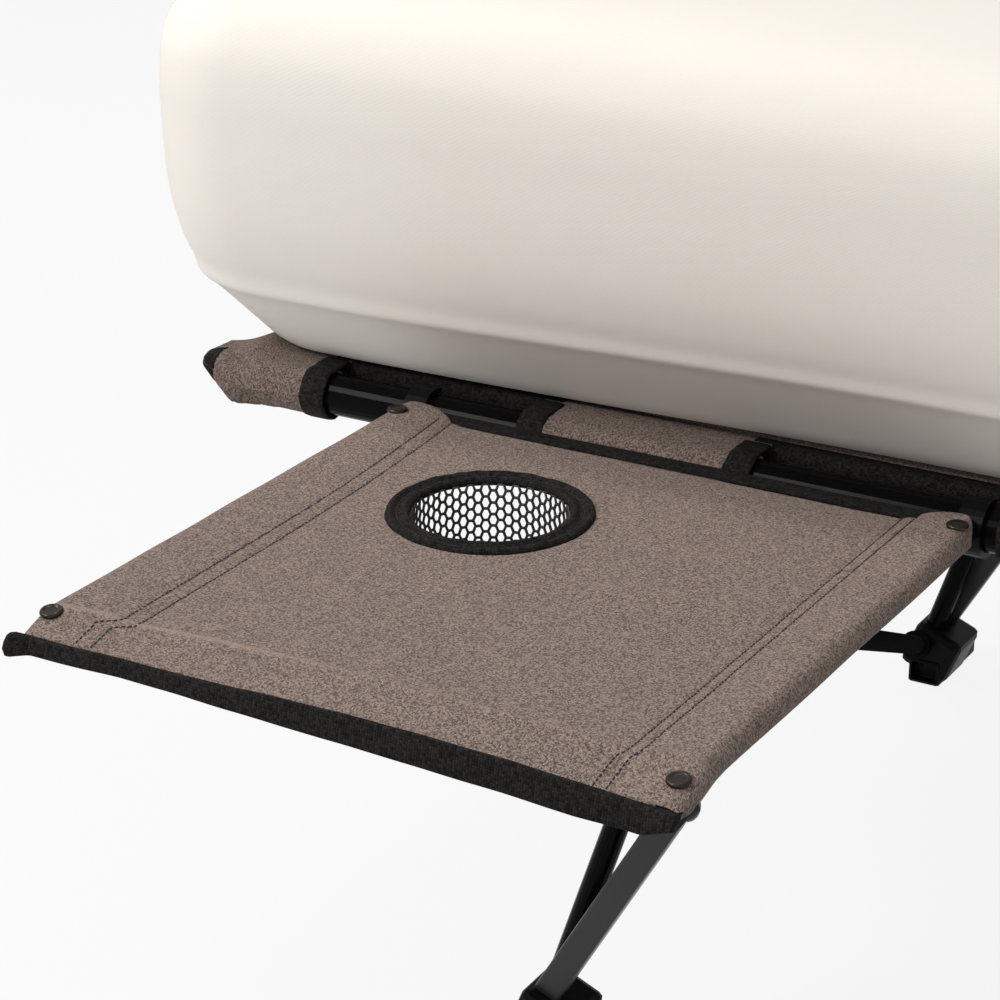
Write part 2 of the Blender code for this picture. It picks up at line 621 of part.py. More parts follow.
def build_table():
    """The side table: two poles and two bars in fabric, hooked over the bare rail."""
    build_table_fabric()
    bar = [(x, OUTER_BAR_Y, OUTER_BAR_Z) for x in OUTER_BAR_ENDS]
    add("table_outer_bar", tube_mesh("outer_bar", *bar, POLE_RADIUS, 18), steel, table)
    for side, pole_x, outward in (("left", POLE_X[0], -1), ("right", POLE_X[1], 1)):
        inner_y = -RAIL_Y - 0.0192
        pole = add(f"table_{side}_pole", tube_mesh("pole", (pole_x, inner_y, POLE_Z),
                                                  (pole_x, OUTER_BAR_Y, POLE_Z), POLE_RADIUS, 18, 0.0012),
                   steel, table)
        cope = (pole_x - 0.03, OUTER_BAR_Y, OUTER_BAR_Z), (pole_x + 0.03, OUTER_BAR_Y, OUTER_BAR_Z)
        cut(pole, tube_mesh("cope", *cope, POLE_RADIUS + GAP, 24))
        cap_x = OUTER_BAR_ENDS[0] if outward < 0 else OUTER_BAR_ENDS[1]
        cap_room = (cap_x, OUTER_BAR_Y, OUTER_BAR_Z), (cap_x + outward * 0.02, OUTER_BAR_Y, OUTER_BAR_Z)
        cut(pole, tube_mesh("cap_room", *cap_room, POLE_RADIUS + 0.0006 + GAP, 24))
        cut(pole, box_mesh("beyond", (0.05, 0.02, 0.05), (pole_x, OUTER_BAR_Y - 0.01, POLE_Z)))
        slope = Matrix.Rotation(atan2(APRON_DROP, 1.0), 4, "X")
        lid = Matrix.Translation((pole_x, CREASE_Y, POLE_Z + 0.0044)) @ slope
        cut(pole, box_mesh("apron_room", (0.05, 0.06, 0.02), (0, 0, 0), 0.0,
                           lid @ Matrix.Translation((0, -0.03, 0.01))))
        build_hook(side, pole_x)
        place = basis((0, 1, 0), (0, 0, 1), (cap_x, OUTER_BAR_Y, OUTER_BAR_Z))
        if outward < 0:
            place = basis((0, 0, 1), (0, 1, 0), (cap_x, OUTER_BAR_Y, OUTER_BAR_Z))
        cap = [(0, GAP), (POLE_RADIUS + 0.0006, GAP)]
        cap += [(radius, 0.0035 + height) for radius, height in arc((0, 0), POLE_RADIUS + 0.0006, 0, 90, 5)]
        cap = [(radius, GAP + (height - GAP) * 0.8) for radius, height in cap[:-1]] + [(0, 0.0095)]
        add(f"outer_bar_cap_{side}", turned_mesh("cap", cap, place, 18), gloss, table)
    z = INNER_BAR_Z
    inner_bar = add("table_inner_bar", tube_mesh("inner_bar", (POLE_X[0], INNER_BAR_Y, z),
                                                 (POLE_X[1], INNER_BAR_Y, z), 0.006, 16), steel, table)
    for pole_x in POLE_X:
        cope = (pole_x, INNER_BAR_Y - 0.03, POLE_Z), (pole_x, INNER_BAR_Y + 0.03, POLE_Z)
        cut(inner_bar, tube_mesh("cope", *cope, POLE_RADIUS + GAP, 24))
        outward = -1 if pole_x == POLE_X[0] else 1
        cut(inner_bar, box_mesh("beyond", (0.02, 0.02, 0.03), (pole_x + outward * 0.008, INNER_BAR_Y, z)))
    build_edges()
    build_cup()
    build_snaps()


def build_hook(side, pole_x):
    """A moulded hook round the rail, with a spigot in the pole, and the stop that it rests on."""
    inner, outer = RAIL_RADIUS + 0.0005, RAIL_RADIUS + 0.0042
    centre = (-RAIL_Y, RAIL_Z)
    ring = arc(centre, outer, 62, 264, 16) + arc(centre, inner, 264, 62, 16)
    hook = add(f"table_{side}_hook", outline_mesh("hook", [ring], 0.016, across_section(pole_x)),
               black_plastic, table)
    spigot = (pole_x, -RAIL_Y - 0.0160, POLE_Z), (pole_x, -RAIL_Y - 0.040, POLE_Z)
    cut(hook, tube_mesh("spigot", *spigot, POLE_RADIUS - 0.0012 - GAP, 14), "UNION")
    stop = arc(centre, outer - 0.0004, 266.5, 288, 4) + arc(centre, RAIL_RADIUS + GAP, 288, 266.5, 4)
    add(f"rail_stop_{side}", outline_mesh("stop", [stop], 0.016, across_section(pole_x)), steel, root)


def build_edges():
    """Black webbing: a binding along the table's outer edge and a strip along its inner edge."""
    length = POLE_X[1] - POLE_X[0] + 2 * HEM_RADIUS + 0.004
    drop = APRON_DROP * (CREASE_Y - TABLE_OUTER_Y)
    tilt = radians(30)
    y = TABLE_OUTER_Y - 3 * GAP - BINDING_WIDTH / 2 * cos(tilt) - 0.0018 * sin(tilt)
    z = TABLE_FLAT - TABLE_CLOTH / 2 - drop - BINDING_WIDTH / 2 * sin(tilt)
    turn = Matrix.Rotation(tilt, 4, "X")
    middle = sum(POLE_X) / 2
    binding = box_mesh("binding", (length, BINDING_WIDTH, 0.0036), (middle, y, z), 0.001, turn)
    add("table_outer_binding", binding, webbing, table)
    size = (POLE_X[1] - POLE_X[0] - 2 * 0.026 - 2 * GAP, 0.0145, 0.0022)
    strip = box_mesh("strip", size, (middle, TABLE_INNER_Y - 0.0064, TABLE_FLAT - 0.0010), 0.0007)
    add("table_inner_strip", strip, webbing, table)


def build_cup():
    """The cup holder: a bound ring on the fabric and a round net pocket hanging from it."""
    x, y = CUP_CENTRE
    inner, outer = CUP_OPENING, CUP_RING_OUTER
    profile = [(inner, 0.0), (outer, 0.0), (outer, 0.0012), (outer - 0.003, 0.0026), (inner + 0.003, 0.0026),
               (inner, 0.0012), (inner, 0.0)]
    place = Matrix.Translation((x, y, TABLE_FLAT + GAP))
    add("cup_ring", turned_mesh("cup_ring", profile, place, 36), webbing, table)
    add("cup_net", net_mesh(x, y), netting, table)


def net_mesh(x, y):
    """A round net: strands cross on a slant round the wall and meet at the middle of the base."""
    bm = bmesh.new()
    radius = CUP_OPENING - 0.0006
    top = TABLE_FLAT - 0.0006
    levels = []
    for row in range(NET_ROWS + 1):
        shift = 0.5 * (row % 2)
        height = top - CUP_DEPTH * row / NET_ROWS
        reach = radius * (1 - 0.05 * row / NET_ROWS)
        levels.append([bm.verts.new((x + reach * cos(2 * pi * (i + shift) / NET_COLUMNS),
                                     y + reach * sin(2 * pi * (i + shift) / NET_COLUMNS), height))
                       for i in range(NET_COLUMNS)])
    base = levels[-1]
    middle = [bm.verts.new((x + 0.45 * (vert.co.x - x), y + 0.45 * (vert.co.y - y), top - CUP_DEPTH - 0.001))
              for vert in base[::2]]
    for row in range(NET_ROWS - 1):
        above, between, below = levels[row], levels[row + 1], levels[row + 2]
        slide = row % 2
        for i in range(NET_COLUMNS):
            left, right = between[(i - 1 + slide) % NET_COLUMNS], between[(i + slide) % NET_COLUMNS]
            bm.faces.new((above[i], left, below[i], right))
    for i in range(NET_COLUMNS):
        j = (i + 1) % NET_COLUMNS
        bm.faces.new((levels[0][i], levels[1][i], levels[0][j]))
        bm.faces.new((levels[-1][i], levels[-2][(i + NET_ROWS % 2) % NET_COLUMNS], levels[-1][j]))
    count = len(middle)
    for i in range(count):
        a, b, c = base[2 * i], base[(2 * i + 1) % NET_COLUMNS], base[(2 * i + 2) % NET_COLUMNS]
        bm.faces.new((a, middle[i], middle[(i + 1) % count], c, b))
    bm.faces.new(middle)
    bmesh.ops.recalc_face_normals(bm, faces=bm.faces)
    mesh = bpy.data.meshes.new("net")
    bm.to_mesh(mesh)
    bm.free()
    holder = bpy.data.objects.new("net", mesh)
    cutters.objects.link(holder)
    wires = holder.modifiers.new("strands", "WIREFRAME")
    wires.thickness = 0.0011
    wires.use_boundary = True
    wires.use_even_offset = False
    bpy.context.view_layer.update()
    made = bpy.data.meshes.new_from_object(holder.evaluated_get(bpy.context.evaluated_depsgraph_get()))
    bpy.data.objects.remove(holder, do_unlink=True)
    return made


def build_snaps():
    """Four domed caps that pin the fabric to the poles at the table's corners."""
    radius = SNAP_RADIUS
    profile = [(0, 0.0), (radius, 0.0), (radius, 0.0008), (radius * 0.75, 0.0019), (radius * 0.45, 0.0021),
               (radius * 0.38, 0.0017), (0, 0.0016)]
    for row, y in zip(("inner", "outer"), SNAP_Y):
        past = max(CREASE_Y - y, 0.0)
        lift = TABLE_TOP + GAP - APRON_DROP * past
        tilt = Matrix.Rotation(atan2(APRON_DROP, 1.0), 4, "X") if past > 0 else Matrix.Identity(4)
        for column, x in zip(("left", "right"), POLE_X):
            clear = Matrix.Translation((x, y, lift + (0.0012 if past > 0 else 0.0)))
            add(f"snap_{row}_{column}", turned_mesh("snap", profile, clear @ tilt, 14), snap_metal, table)


clear_scene()
cot = bpy.data.collections.new("airbed_cot")
bpy.context.scene.collection.children.link(cot)
cutters = bpy.data.collections.new("cutters")
bpy.context.scene.collection.children.link(cutters)
steel = material("powder_coated_steel", BLACK, 0.38, 0.3)
bright = material("zinc_pin", (0.35, 0.35, 0.36, 1.0), 0.35, 1.0)
black_plastic = material("black_plastic", BLACK, 0.5)
gloss = material("gloss_plastic", BLACK, 0.15)
taupe = material("taupe_canvas", TAUPE, 0.85)
webbing = material("black_webbing", (0.01, 0.01, 0.01, 1.0), 0.8)
netting = material("black_net", (0.01, 0.01, 0.01, 1.0), 0.7)
snap_metal = material("dark_snap", (0.06, 0.05, 0.045, 1.0), 0.3, 0.9)
cream = material("cream_cover", CREAM, 0.9)

root = bpy.data.objects.new("cot_origin", None)
cot.objects.link(root)
table = pivot("table_hinge", (sum(POLE_X) / 2, -RAIL_Y, RAIL_Z))
legs = {}
build_rails()
build_bows()
build_leg_brackets()
build_deck()
build_airbed()
for end_name, end_sign in ENDS.items():
    build_leg_frame(end_name, end_sign)
build_table()
root.location = (-FLOOR_MIDDLE[0], -FLOOR_MIDDLE[1], 0.0)
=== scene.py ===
from math import acos, atan2, copysign, cos, degrees, exp, pi, radians, sin, sqrt

import bmesh
import bpy
import numpy as np
from mathutils import Matrix, Vector, noise


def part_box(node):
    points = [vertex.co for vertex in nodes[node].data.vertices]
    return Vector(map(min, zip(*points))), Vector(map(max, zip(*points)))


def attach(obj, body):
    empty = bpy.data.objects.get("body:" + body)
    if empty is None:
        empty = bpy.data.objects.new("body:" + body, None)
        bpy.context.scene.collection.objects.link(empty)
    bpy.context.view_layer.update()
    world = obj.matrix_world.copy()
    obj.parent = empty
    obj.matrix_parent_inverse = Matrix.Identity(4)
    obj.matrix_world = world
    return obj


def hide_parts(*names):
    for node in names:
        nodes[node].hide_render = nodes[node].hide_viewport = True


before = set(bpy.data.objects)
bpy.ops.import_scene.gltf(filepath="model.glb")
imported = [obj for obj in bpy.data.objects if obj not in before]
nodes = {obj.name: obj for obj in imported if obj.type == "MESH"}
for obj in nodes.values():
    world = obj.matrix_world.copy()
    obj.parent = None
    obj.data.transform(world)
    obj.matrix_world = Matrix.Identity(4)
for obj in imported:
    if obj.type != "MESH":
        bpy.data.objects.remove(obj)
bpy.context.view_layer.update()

scene = bpy.context.scene

# ---- the photograph's view
# A long lens looks down over the side table from the near side of the head end. The mattress fills
# the top of the picture and only the head half of the cot is in it.
def placed(name, data):
    """A new object in the scene."""
    made = bpy.data.objects.new(name, data)
    scene.collection.objects.link(made)
    return made


eye = bpy.data.cameras.new("camera")
eye.lens = 106.9
eye.shift_y = 0.028
camera = placed("camera", eye)
camera.location = (0.169, -1.7492, 1.160)
camera.rotation_euler = (radians(90 - 22.8), 0.0, radians(30.1))
scene.camera = camera

# ---- floor, backdrop and lamps
# A plain white floor and backdrop, as in a studio. One wide lamp at the near left lights the
# mattress's side, two from the left and above shape its edges, and a weak one fills the front.
def fill(made, values):
    """Sets a node's sockets, each to a plain value or from another node's socket."""
    for key, value in values.items():
        if isinstance(value, bpy.types.NodeSocket):
            made.id_data.links.new(value, made.inputs[key])
        else:
            made.inputs[key].default_value = value
    return made


def node(tree, kind, values=None, **settings):
    """Adds a node, sets its properties and fills its sockets. Shader nodes go by their short names."""
    made = tree.nodes.new(kind if kind.startswith("Geometry") else f"ShaderNode{kind}")
    for key, value in settings.items():
        setattr(made, key, value)
    return fill(made, values or {})


def maths(tree, operation, *values):
    """The result of a Math node."""
    return node(tree, "Math", dict(enumerate(values)), operation=operation).outputs[0]


def looked_at(tree):
    """1 for rays from the camera, and for those mirrored or passed on to it; 0 for light."""
    rays = node(tree, "LightPath").outputs
    seen = maths(tree, "MAXIMUM", rays["Is Camera Ray"], rays["Is Glossy Ray"])
    return maths(tree, "MAXIMUM", seen, rays["Is Transmission Ray"])


FLOOR_HALF, FLOOR_DROP, FLOOR_GLOW = 30, 0.0005, 0.88
floor_mesh = bpy.data.meshes.new("floor")
floor_mesh.from_pydata([(x * FLOOR_HALF, y * FLOOR_HALF, 0) for x, y in ((-1, -1), (1, -1), (1, 1), (-1, 1))],
                       [], [(0, 1, 2, 3)])
floor = placed("floor", floor_mesh)
floor.location.z = -FLOOR_DROP
pale = bpy.data.materials.new("pale_floor")
pale.use_nodes = True
tree = pale.node_tree
floor_shader = fill(tree.nodes["Principled BSDF"], {
    "Base Color": (0.64, 0.64, 0.64, 1.0), "Roughness": 0.9, "Specular IOR Level": 0.1})
glow = node(tree, "Emission", {"Color": (1.0, 1.0, 1.0, 1.0), "Strength": 1.0})
blend = node(tree, "MixShader", {0: maths(tree, "MULTIPLY", looked_at(tree), FLOOR_GLOW),
                                 1: floor_shader.outputs[0], 2: glow.outputs[0]})
fill(tree.nodes["Material Output"], {"Surface": blend.outputs[0]})
floor_mesh.materials.append(pale)

world = bpy.data.worlds.new("studio")
scene.world = world
world.use_nodes = True
sky = world.node_tree
ambient = fill(sky.nodes["Background"], {"Color": (0.96, 0.98, 1.0, 1.0), "Strength": 0.44})
backdrop = node(sky, "Background", {"Strength": 1.0})
pick = node(sky, "MixShader", {0: looked_at(sky), 1: ambient.outputs[0], 2: backdrop.outputs[0]})
fill(sky.nodes["World Output"], {"Surface": pick.outputs[0]})

WARM = (1.0, 0.99, 0.97)
for name, place, aim, size, power, tint in (
        ("top_lamp", (-1.30, 0.20, 4.50), (-0.40, -0.30, 0.5), 0.55, 34, WARM),
        ("key_lamp", (-2.70, -3.00, 3.50), (-0.40, -0.30, 0.5), 1.6, 100, WARM),
        ("left_lamp", (-3.40, -0.90, 3.40), (-0.40, -0.30, 0.5), 1.2, 36, (1.0, 0.99, 0.98)),
        ("front_lamp", (0.5, -4.6, 1.6), (0.0, -0.2, 0.5), 2.4, 12, (1.0, 0.98, 0.95))):
    light = bpy.data.lights.new(name, "AREA")
    light.shape, light.size, light.energy, light.color = "DISK", size, power, tint
    lamp = placed(name, light)
    lamp.location = place
    lamp.rotation_euler = (Vector(aim) - Vector(place)).to_track_quat("-Z", "Y").to_euler()

scene.view_settings.view_transform = "Standard"

# ---- rails, bows and their joiners
# Two long rails of black powder-coated steel tube, each in two lengths pushed onto a joiner, with a
# bent bow closing each end. The coating is smooth and glossy, with a faint orange-peel surface.
BED = Vector((0.025, 0.1858, 0.0))


def shader_group(name, inputs, outputs):
    """A shader node group with colours and plain values going in, and the given sockets coming out."""
    made = bpy.data.node_groups.new(name, "ShaderNodeTree")
    for label, value in inputs.items():
        kind = "NodeSocketColor" if isinstance(value, tuple) else "NodeSocketFloat"
        made.interface.new_socket(label, in_out="INPUT", socket_type=kind).default_value = value
    for label, kind in outputs.items():
        made.interface.new_socket(label, in_out="OUTPUT", socket_type=f"NodeSocket{kind}")
    return made, made.nodes.new("NodeGroupInput").outputs, made.nodes.new("NodeGroupOutput")


def finish_material(name, roughness, metallic=0.0, **plain):
    """A material with one Principled shader, whose plain sockets are set here."""
    made = bpy.data.materials.new(name)
    made.use_nodes = True
    values = {key.replace("_", " "): value for key, value in plain.items()}
    values.update(Roughness=roughness, Metallic=metallic)
    return made, made.node_tree, fill(made.node_tree.nodes["Principled BSDF"], values)


def surface_wear():
    """Fine surface relief, a little dust and a change of gloss from place to place."""
    group, given, out = shader_group("surface_wear", {
        "Colour": (0.02, 0.02, 0.02, 1), "Dust colour": (0.2, 0.2, 0.2, 1), "Dust": 0.1, "Grain size": 0.002,
        "Relief": 0.1, "Low gloss": 0.5, "High gloss": 0.3},
        {"Colour": "Color", "Roughness": "Float", "Normal": "Vector"})
    place = node(group, "TexCoord").outputs["Object"]

    def noise_of(scale, detail, roughness=0.5):
        return node(group, "TexNoise", {"Vector": place, "Scale": scale, "Detail": detail,
                                        "Roughness": roughness}).outputs["Fac"]

    peel = noise_of(maths(group, "DIVIDE", 1.0, given["Grain size"]), 3.0, 0.55)
    patches = noise_of(14.0, 6.0, 0.65)
    specks = noise_of(900.0, 2.0)
    keep = node(group, "MapRange", {"Value": patches, "From Min": 0.50, "From Max": 0.78})
    amount = maths(group, "MULTIPLY", maths(group, "MULTIPLY", keep.outputs[0], specks), given["Dust"])
    tint = node(group, "Mix",
                {"Factor": amount, 6: given["Colour"], 7: given["Dust colour"]}, data_type="RGBA")
    gloss = node(group, "MapRange", {
        "Value": patches, "From Min": 0.35, "From Max": 0.65, "To Min": given["Low gloss"],
        "To Max": given["High gloss"]})
    bump = node(group, "Bump", {"Distance": 0.0002, "Strength": given["Relief"], "Height": peel})
    fill(out, {"Colour": tint.outputs[2], "Roughness": gloss.outputs[0], "Normal": bump.outputs[0]})
    return group


wear = surface_wear()


def worn(name, colour, dust_colour, dust, grain, relief, low, high, metallic=0.0, **plain):
    """A hard material that takes its colour, gloss and relief from the wear group."""
    made, tree, shader = finish_material(name, low, metallic, **plain)
    coat = node(tree, "Group", {
        "Colour": (*colour, 1), "Dust colour": (*dust_colour, 1), "Dust": dust, "Grain size": grain,
        "Relief": relief, "Low gloss": low, "High gloss": high}, node_tree=wear).outputs
    fill(shader, {"Base Color": coat["Colour"], "Roughness": coat["Roughness"], "Normal": coat["Normal"]})
    return made


def dress(material, *names):
    """Gives CAD nodes a material."""
    for name in names:
        nodes[name].data.materials.clear()
        nodes[name].data.materials.append(material)


powder_coat = worn("black_powder_coat", (0.0035, 0.0032, 0.0034), (0.030, 0.027, 0.025), 0.12, 0.0011, 0.10,
                   0.22, 0.12, Specular_IOR_Level=0.03)
bright_tube = worn("bare_joiner_steel", (0.36, 0.36, 0.37), (0.16, 0.15, 0.14), 0.3, 0.0006, 0.12, 0.42, 0.28,
                   1.0)
dress(powder_coat, "near_rail_head", "near_rail_foot", "far_rail_head", "far_rail_foot", "head_bow",
      "foot_bow")
dress(bright_tube, "near_rail_joiner", "far_rail_joiner")

# ---- leg brackets and their pins
# A folded steel fork under the rail for each leg, coated like the rails, with a zinc-plated pin
# through it that the leg turns on.
zinc = worn("zinc_plate", (0.42, 0.42, 0.43), (0.20, 0.19, 0.17), 0.35, 0.0005, 0.1, 0.46, 0.3, 1.0)
for side in ("near", "far"):
    for end in ("head", "foot"):
        dress(powder_coat, f"{side}_{end}_bracket")
        dress(zinc, f"{side}_{end}_pin")

# ---- legs, posts, gussets and ties
# Each end stands on a flat-sided leg and a round post at either side, joined by a plate near the
# top, with a cross tube between the posts and one slanting tie. The ties' coating is matt.
leg_coat = worn("black_leg_coat", (0.015, 0.0138, 0.014), (0.07, 0.065, 0.06), 0.15, 0.0013, 0.2, 0.40, 0.30,
                Specular_IOR_Level=0.42)
tie_coat = worn("black_matt_coat", (0.022, 0.0210, 0.0215), (0.05, 0.046, 0.043), 0.15, 0.0013, 0.2, 0.62,
                0.5, Specular_IOR_Level=0.0)
for end in ("head", "foot"):
    for side in ("near", "far"):
        dress(leg_coat, f"{side}_{end}_leg")
        dress(powder_coat, f"{side}_{end}_post", f"{side}_{end}_gusset")
    dress(tie_coat, f"{end}_spreader", f"{end}_diagonal")

# ---- foot blocks
# A moulded black plastic foot takes the lower ends of each leg and its post. Its long bar lies
# across the bed on the ground, and its sides are blasted matt by the mould.
foot_plastic = worn("moulded_foot_plastic", (0.0032, 0.0031, 0.0033), (0.035, 0.032, 0.03), 0.15, 0.0008, 0.3,
                    0.5, 0.38, Specular_IOR_Level=0.07)
for side in ("near", "far"):
    for end in ("head", "foot"):
        dress(foot_plastic, f"{side}_{end}_foot_block")

# ---- deck fabric and its sleeves
# One sheet of taupe woven polyester is stretched between the rails. It runs round each rail in
# sleeves, which stop short where the legs and the side table fix on, and round the end bars.
RAIL_Y, RAIL_Z = 0.365, 0.468
DECK_TOP, DECK_X, DECK_Y, CLOTH_THICK = 0.4839, 0.927, 0.333, 0.0011
BARE = ((0.7455, 0.895), (0.415, 0.5812))
SLEEVE_R, SLEEVE_END, TIP_START = 0.0156, 0.991, 0.932
END_BAR_X, END_BAR_HALF = 0.971, 0.304


def woven_cloth():
    """Plain weave from a UV map in metres: threads over and under, each a little lighter or darker."""
    group, given, out = shader_group("woven_cloth", {
        "Colour": (0.2, 0.2, 0.2, 1), "Light thread": (0.3, 0.3, 0.3, 1), "Dark thread": (0.1, 0.1, 0.1, 1),
        "Thread pitch": 0.001, "Variation": 0.5, "Relief": 0.5},
        {"Colour": "Color", "Height": "Float", "Normal": "Vector"})

    def calc(operation, *values):
        return maths(group, operation, *values)

    def mixed(factor, first, second, kind="MIX"):
        return node(group, "Mix",
                    {"Factor": factor, 6: first, 7: second}, data_type="RGBA", blend_type=kind).outputs[2]

    place = node(group, "UVMap", uv_map="cloth").outputs["UV"]
    threads = node(group, "VectorMath",
                   {0: place, "Scale": calc("DIVIDE", 1.0, given["Thread pitch"])},
                   operation="SCALE").outputs[0]
    split = node(group, "SeparateXYZ", {0: threads})
    cells = [calc("FLOOR", split.outputs[axis]) for axis in "XY"]
    humps = [calc("ABSOLUTE", calc("SINE", calc("MULTIPLY", split.outputs[axis], pi))) for axis in "XY"]
    parity = calc("MODULO", calc("ABSOLUTE", calc("ADD", cells[0], cells[1])), 2.0)
    over = calc("GREATER_THAN", parity, 0.5)
    warp = calc("MULTIPLY", humps[0], calc("POWER", humps[1], 0.5))
    weft = calc("MULTIPLY", humps[1], calc("POWER", humps[0], 0.5))
    height = node(group, "Mix", {"Factor": over, 2: warp, 3: weft}, data_type="FLOAT").outputs[0]
    along = node(group, "CombineXYZ", {0: cells[0], 1: cells[1], 2: over})
    shade = node(group, "TexWhiteNoise", {"Vector": along.outputs[0]}, noise_dimensions="3D")
    runs = node(group, "TexNoise", {"Vector": threads, "Scale": 0.33, "Detail": 2.0})
    wide = node(group, "MapRange", {"Value": runs.outputs["Fac"], "From Min": 0.33, "From Max": 0.67})
    mottle = calc("ADD", calc("MULTIPLY", shade.outputs["Value"], 0.92),
                  calc("MULTIPLY", wide.outputs[0], 0.08))
    pair = mixed(mottle, given["Dark thread"], given["Light thread"])
    yarn = mixed(given["Variation"], given["Colour"], pair)
    # Painted shade and highlight: the colour is multiplied down where a thread dips under its neighbour and
    # lifted a little on its crown.
    lit = calc("ADD", calc("MULTIPLY", height, 0.45), 0.72)
    thread_shade_grey = node(group, "CombineXYZ", {0: lit, 1: lit, 2: lit}).outputs[0]
    # Painted highlight: along the crease over the outer bar the colour is pulled toward the light thread.
    crease_glint = node(group, "Attribute", attribute_name="crease_highlight").outputs["Fac"]
    colour = mixed(calc("MULTIPLY", crease_glint, 0.60), mixed(0.55, yarn, thread_shade_grey, "MULTIPLY"), given["Light thread"])
    bump = node(group, "Bump", {"Distance": 0.00035, "Strength": given["Relief"], "Height": height})
    fill(out, {"Colour": colour, "Height": height, "Normal": bump.outputs[0]})
    return group


weave = woven_cloth()


def cloth_material(name, colour, light, dark, pitch, variation, relief, roughness, **plain):
    """A woven material on a piece's own cloth map."""
    made, tree, shader = finish_material(name, roughness, 0.0, **plain)
    woven = node(tree, "Group", {
        "Colour": (*colour, 1), "Light thread": (*light, 1), "Dark thread": (*dark, 1),
        "Thread pitch": pitch, "Variation": variation, "Relief": relief}, node_tree=weave).outputs
    fill(shader, {"Base Color": woven["Colour"], "Normal": woven["Normal"]})
    return made


THREAD_PITCH, CLOTH_RELIEF, CLOTH_ROUGHNESS = 0.00095, 0.6, 0.86
taupe = cloth_material("taupe_polyester", (0.217, 0.160, 0.135), (0.362, 0.276, 0.236), (0.064, 0.042, 0.034),
                       THREAD_PITCH, 0.95, CLOTH_RELIEF, CLOTH_ROUGHNESS, Specular_IOR_Level=0.22,
                       Sheen_Weight=0.10, Sheen_Roughness=0.4)
# The table's taupe again, with its colours about 0.85 times and less sheen: painted shade for the deck and
# sleeves, which lie in the shadow of the mattress and table.
shaded_deck_taupe = cloth_material("taupe_polyester_painted_shade", (0.184, 0.136, 0.115), (0.308, 0.235, 0.200),
                            (0.054, 0.036, 0.029), THREAD_PITCH, 0.95, CLOTH_RELIEF, CLOTH_ROUGHNESS,
                            Specular_IOR_Level=0.22, Sheen_Weight=0.06, Sheen_Roughness=0.4)
black_tape = cloth_material("black_binding_tape", (0.007, 0.0062, 0.0062), (0.026, 0.022, 0.021),
                            (0.0015, 0.0015, 0.0015), 0.0016, 0.9, 1.0, 0.8, Specular_IOR_Level=0.12)


def skin(name, rows, material, closed=False):
    """A skin through rows of points, in the bed's own frame, with a cloth map in metres."""
    grid = np.array([[tuple(point) for point in row] for row in rows], float)
    count, wide = grid.shape[:2]
    steps = np.linalg.norm(np.diff(grid, axis=1), axis=2)
    across = np.concatenate([np.zeros((count, 1)), np.cumsum(steps, axis=1)], axis=1)
    rises = np.linalg.norm(np.diff(grid, axis=0), axis=2)
    along = np.concatenate([np.zeros(1), np.cumsum(rises.mean(axis=1))])
    if closed:
        across = np.hstack([across, across[:, -1:] + steps.mean(axis=1, keepdims=True)])
    mesh = bpy.data.meshes.new(name)
    faces, corners = [], []
    for i in range(count - 1):
        for j in range(wide if closed else wide - 1):
            k = (j + 1) % wide
            faces.append((i * wide + j, i * wide + k, (i + 1) * wide + k, (i + 1) * wide + j))
            corners += [(across[a][b], along[a]) for a, b in ((i, j), (i, j + 1), (i + 1, j + 1), (i + 1, j))]
    mesh.from_pydata((grid.reshape(-1, 3) + np.array(BED)).tolist(), [], faces)
    chart = mesh.uv_layers.new(name="cloth")
    chart.data.foreach_set("uv", np.array(corners, np.float32).ravel())
    mesh.materials.append(material)
    mesh.shade_smooth()
    return placed(name, mesh)


def applied(piece):
    """Applies a piece's modifiers, so that only its plain mesh is left."""
    bpy.context.view_layer.update()
    depsgraph = bpy.context.evaluated_depsgraph_get()
    mesh = bpy.data.meshes.new_from_object(piece.evaluated_get(depsgraph), preserve_all_data_layers=True,
                                           depsgraph=depsgraph)
    old = piece.data
    piece.modifiers.clear()
    piece.data = mesh
    bpy.data.meshes.remove(old)
    return piece


def thicken(piece, thickness, offset=-1.0):
    """Gives a skin its thickness."""
    wall = piece.modifiers.new("thickness", "SOLIDIFY")
    wall.thickness = thickness
    wall.offset = offset
    wall.use_even_offset = True
    return applied(piece)


def settle(piece, body, slot, *stands_for):
    """Puts a finished piece on its body and hides the solids it stands for; the slot is not used."""
    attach(piece, body)
    if stands_for:
        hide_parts(*stands_for)
    return piece


def ripple(place, scale, size, seed=0.0):
    """A smooth rise and fall over the cloth."""
    return size * noise.noise(Vector(place) * scale + Vector((seed, 3.1 * seed, 1.7)))


def ramp(value):
    """A value held between 0 and 1."""
    return min(max(value, 0.0), 1.0)


def hump(away, width):
    """A smooth hump, 1 where away is 0."""
    return exp(-(away / width) ** 2)


def round_rail(y, side, start, stop, steps, radius, x, crumple):
    """Points round a rail, from an angle to another, 90 being on top and 0 outboard."""
    points = []
    for k in range(steps + 1):
        angle = radians(start + (stop - start) * k / steps)
        reach = radius + ripple((x, angle, side), 14.0, crumple, 2.0) * (0.4 + 0.6 * abs(cos(angle)))
        points.append((x, side * (y + reach * cos(angle)), RAIL_Z + reach * sin(angle)))
    return points


def deck_sag(x, y):
    """How far the stretched deck gives between the rails."""
    return -0.0008 * (1 - (y / 0.34) ** 2) * (1 - (x / 1.0) ** 4)


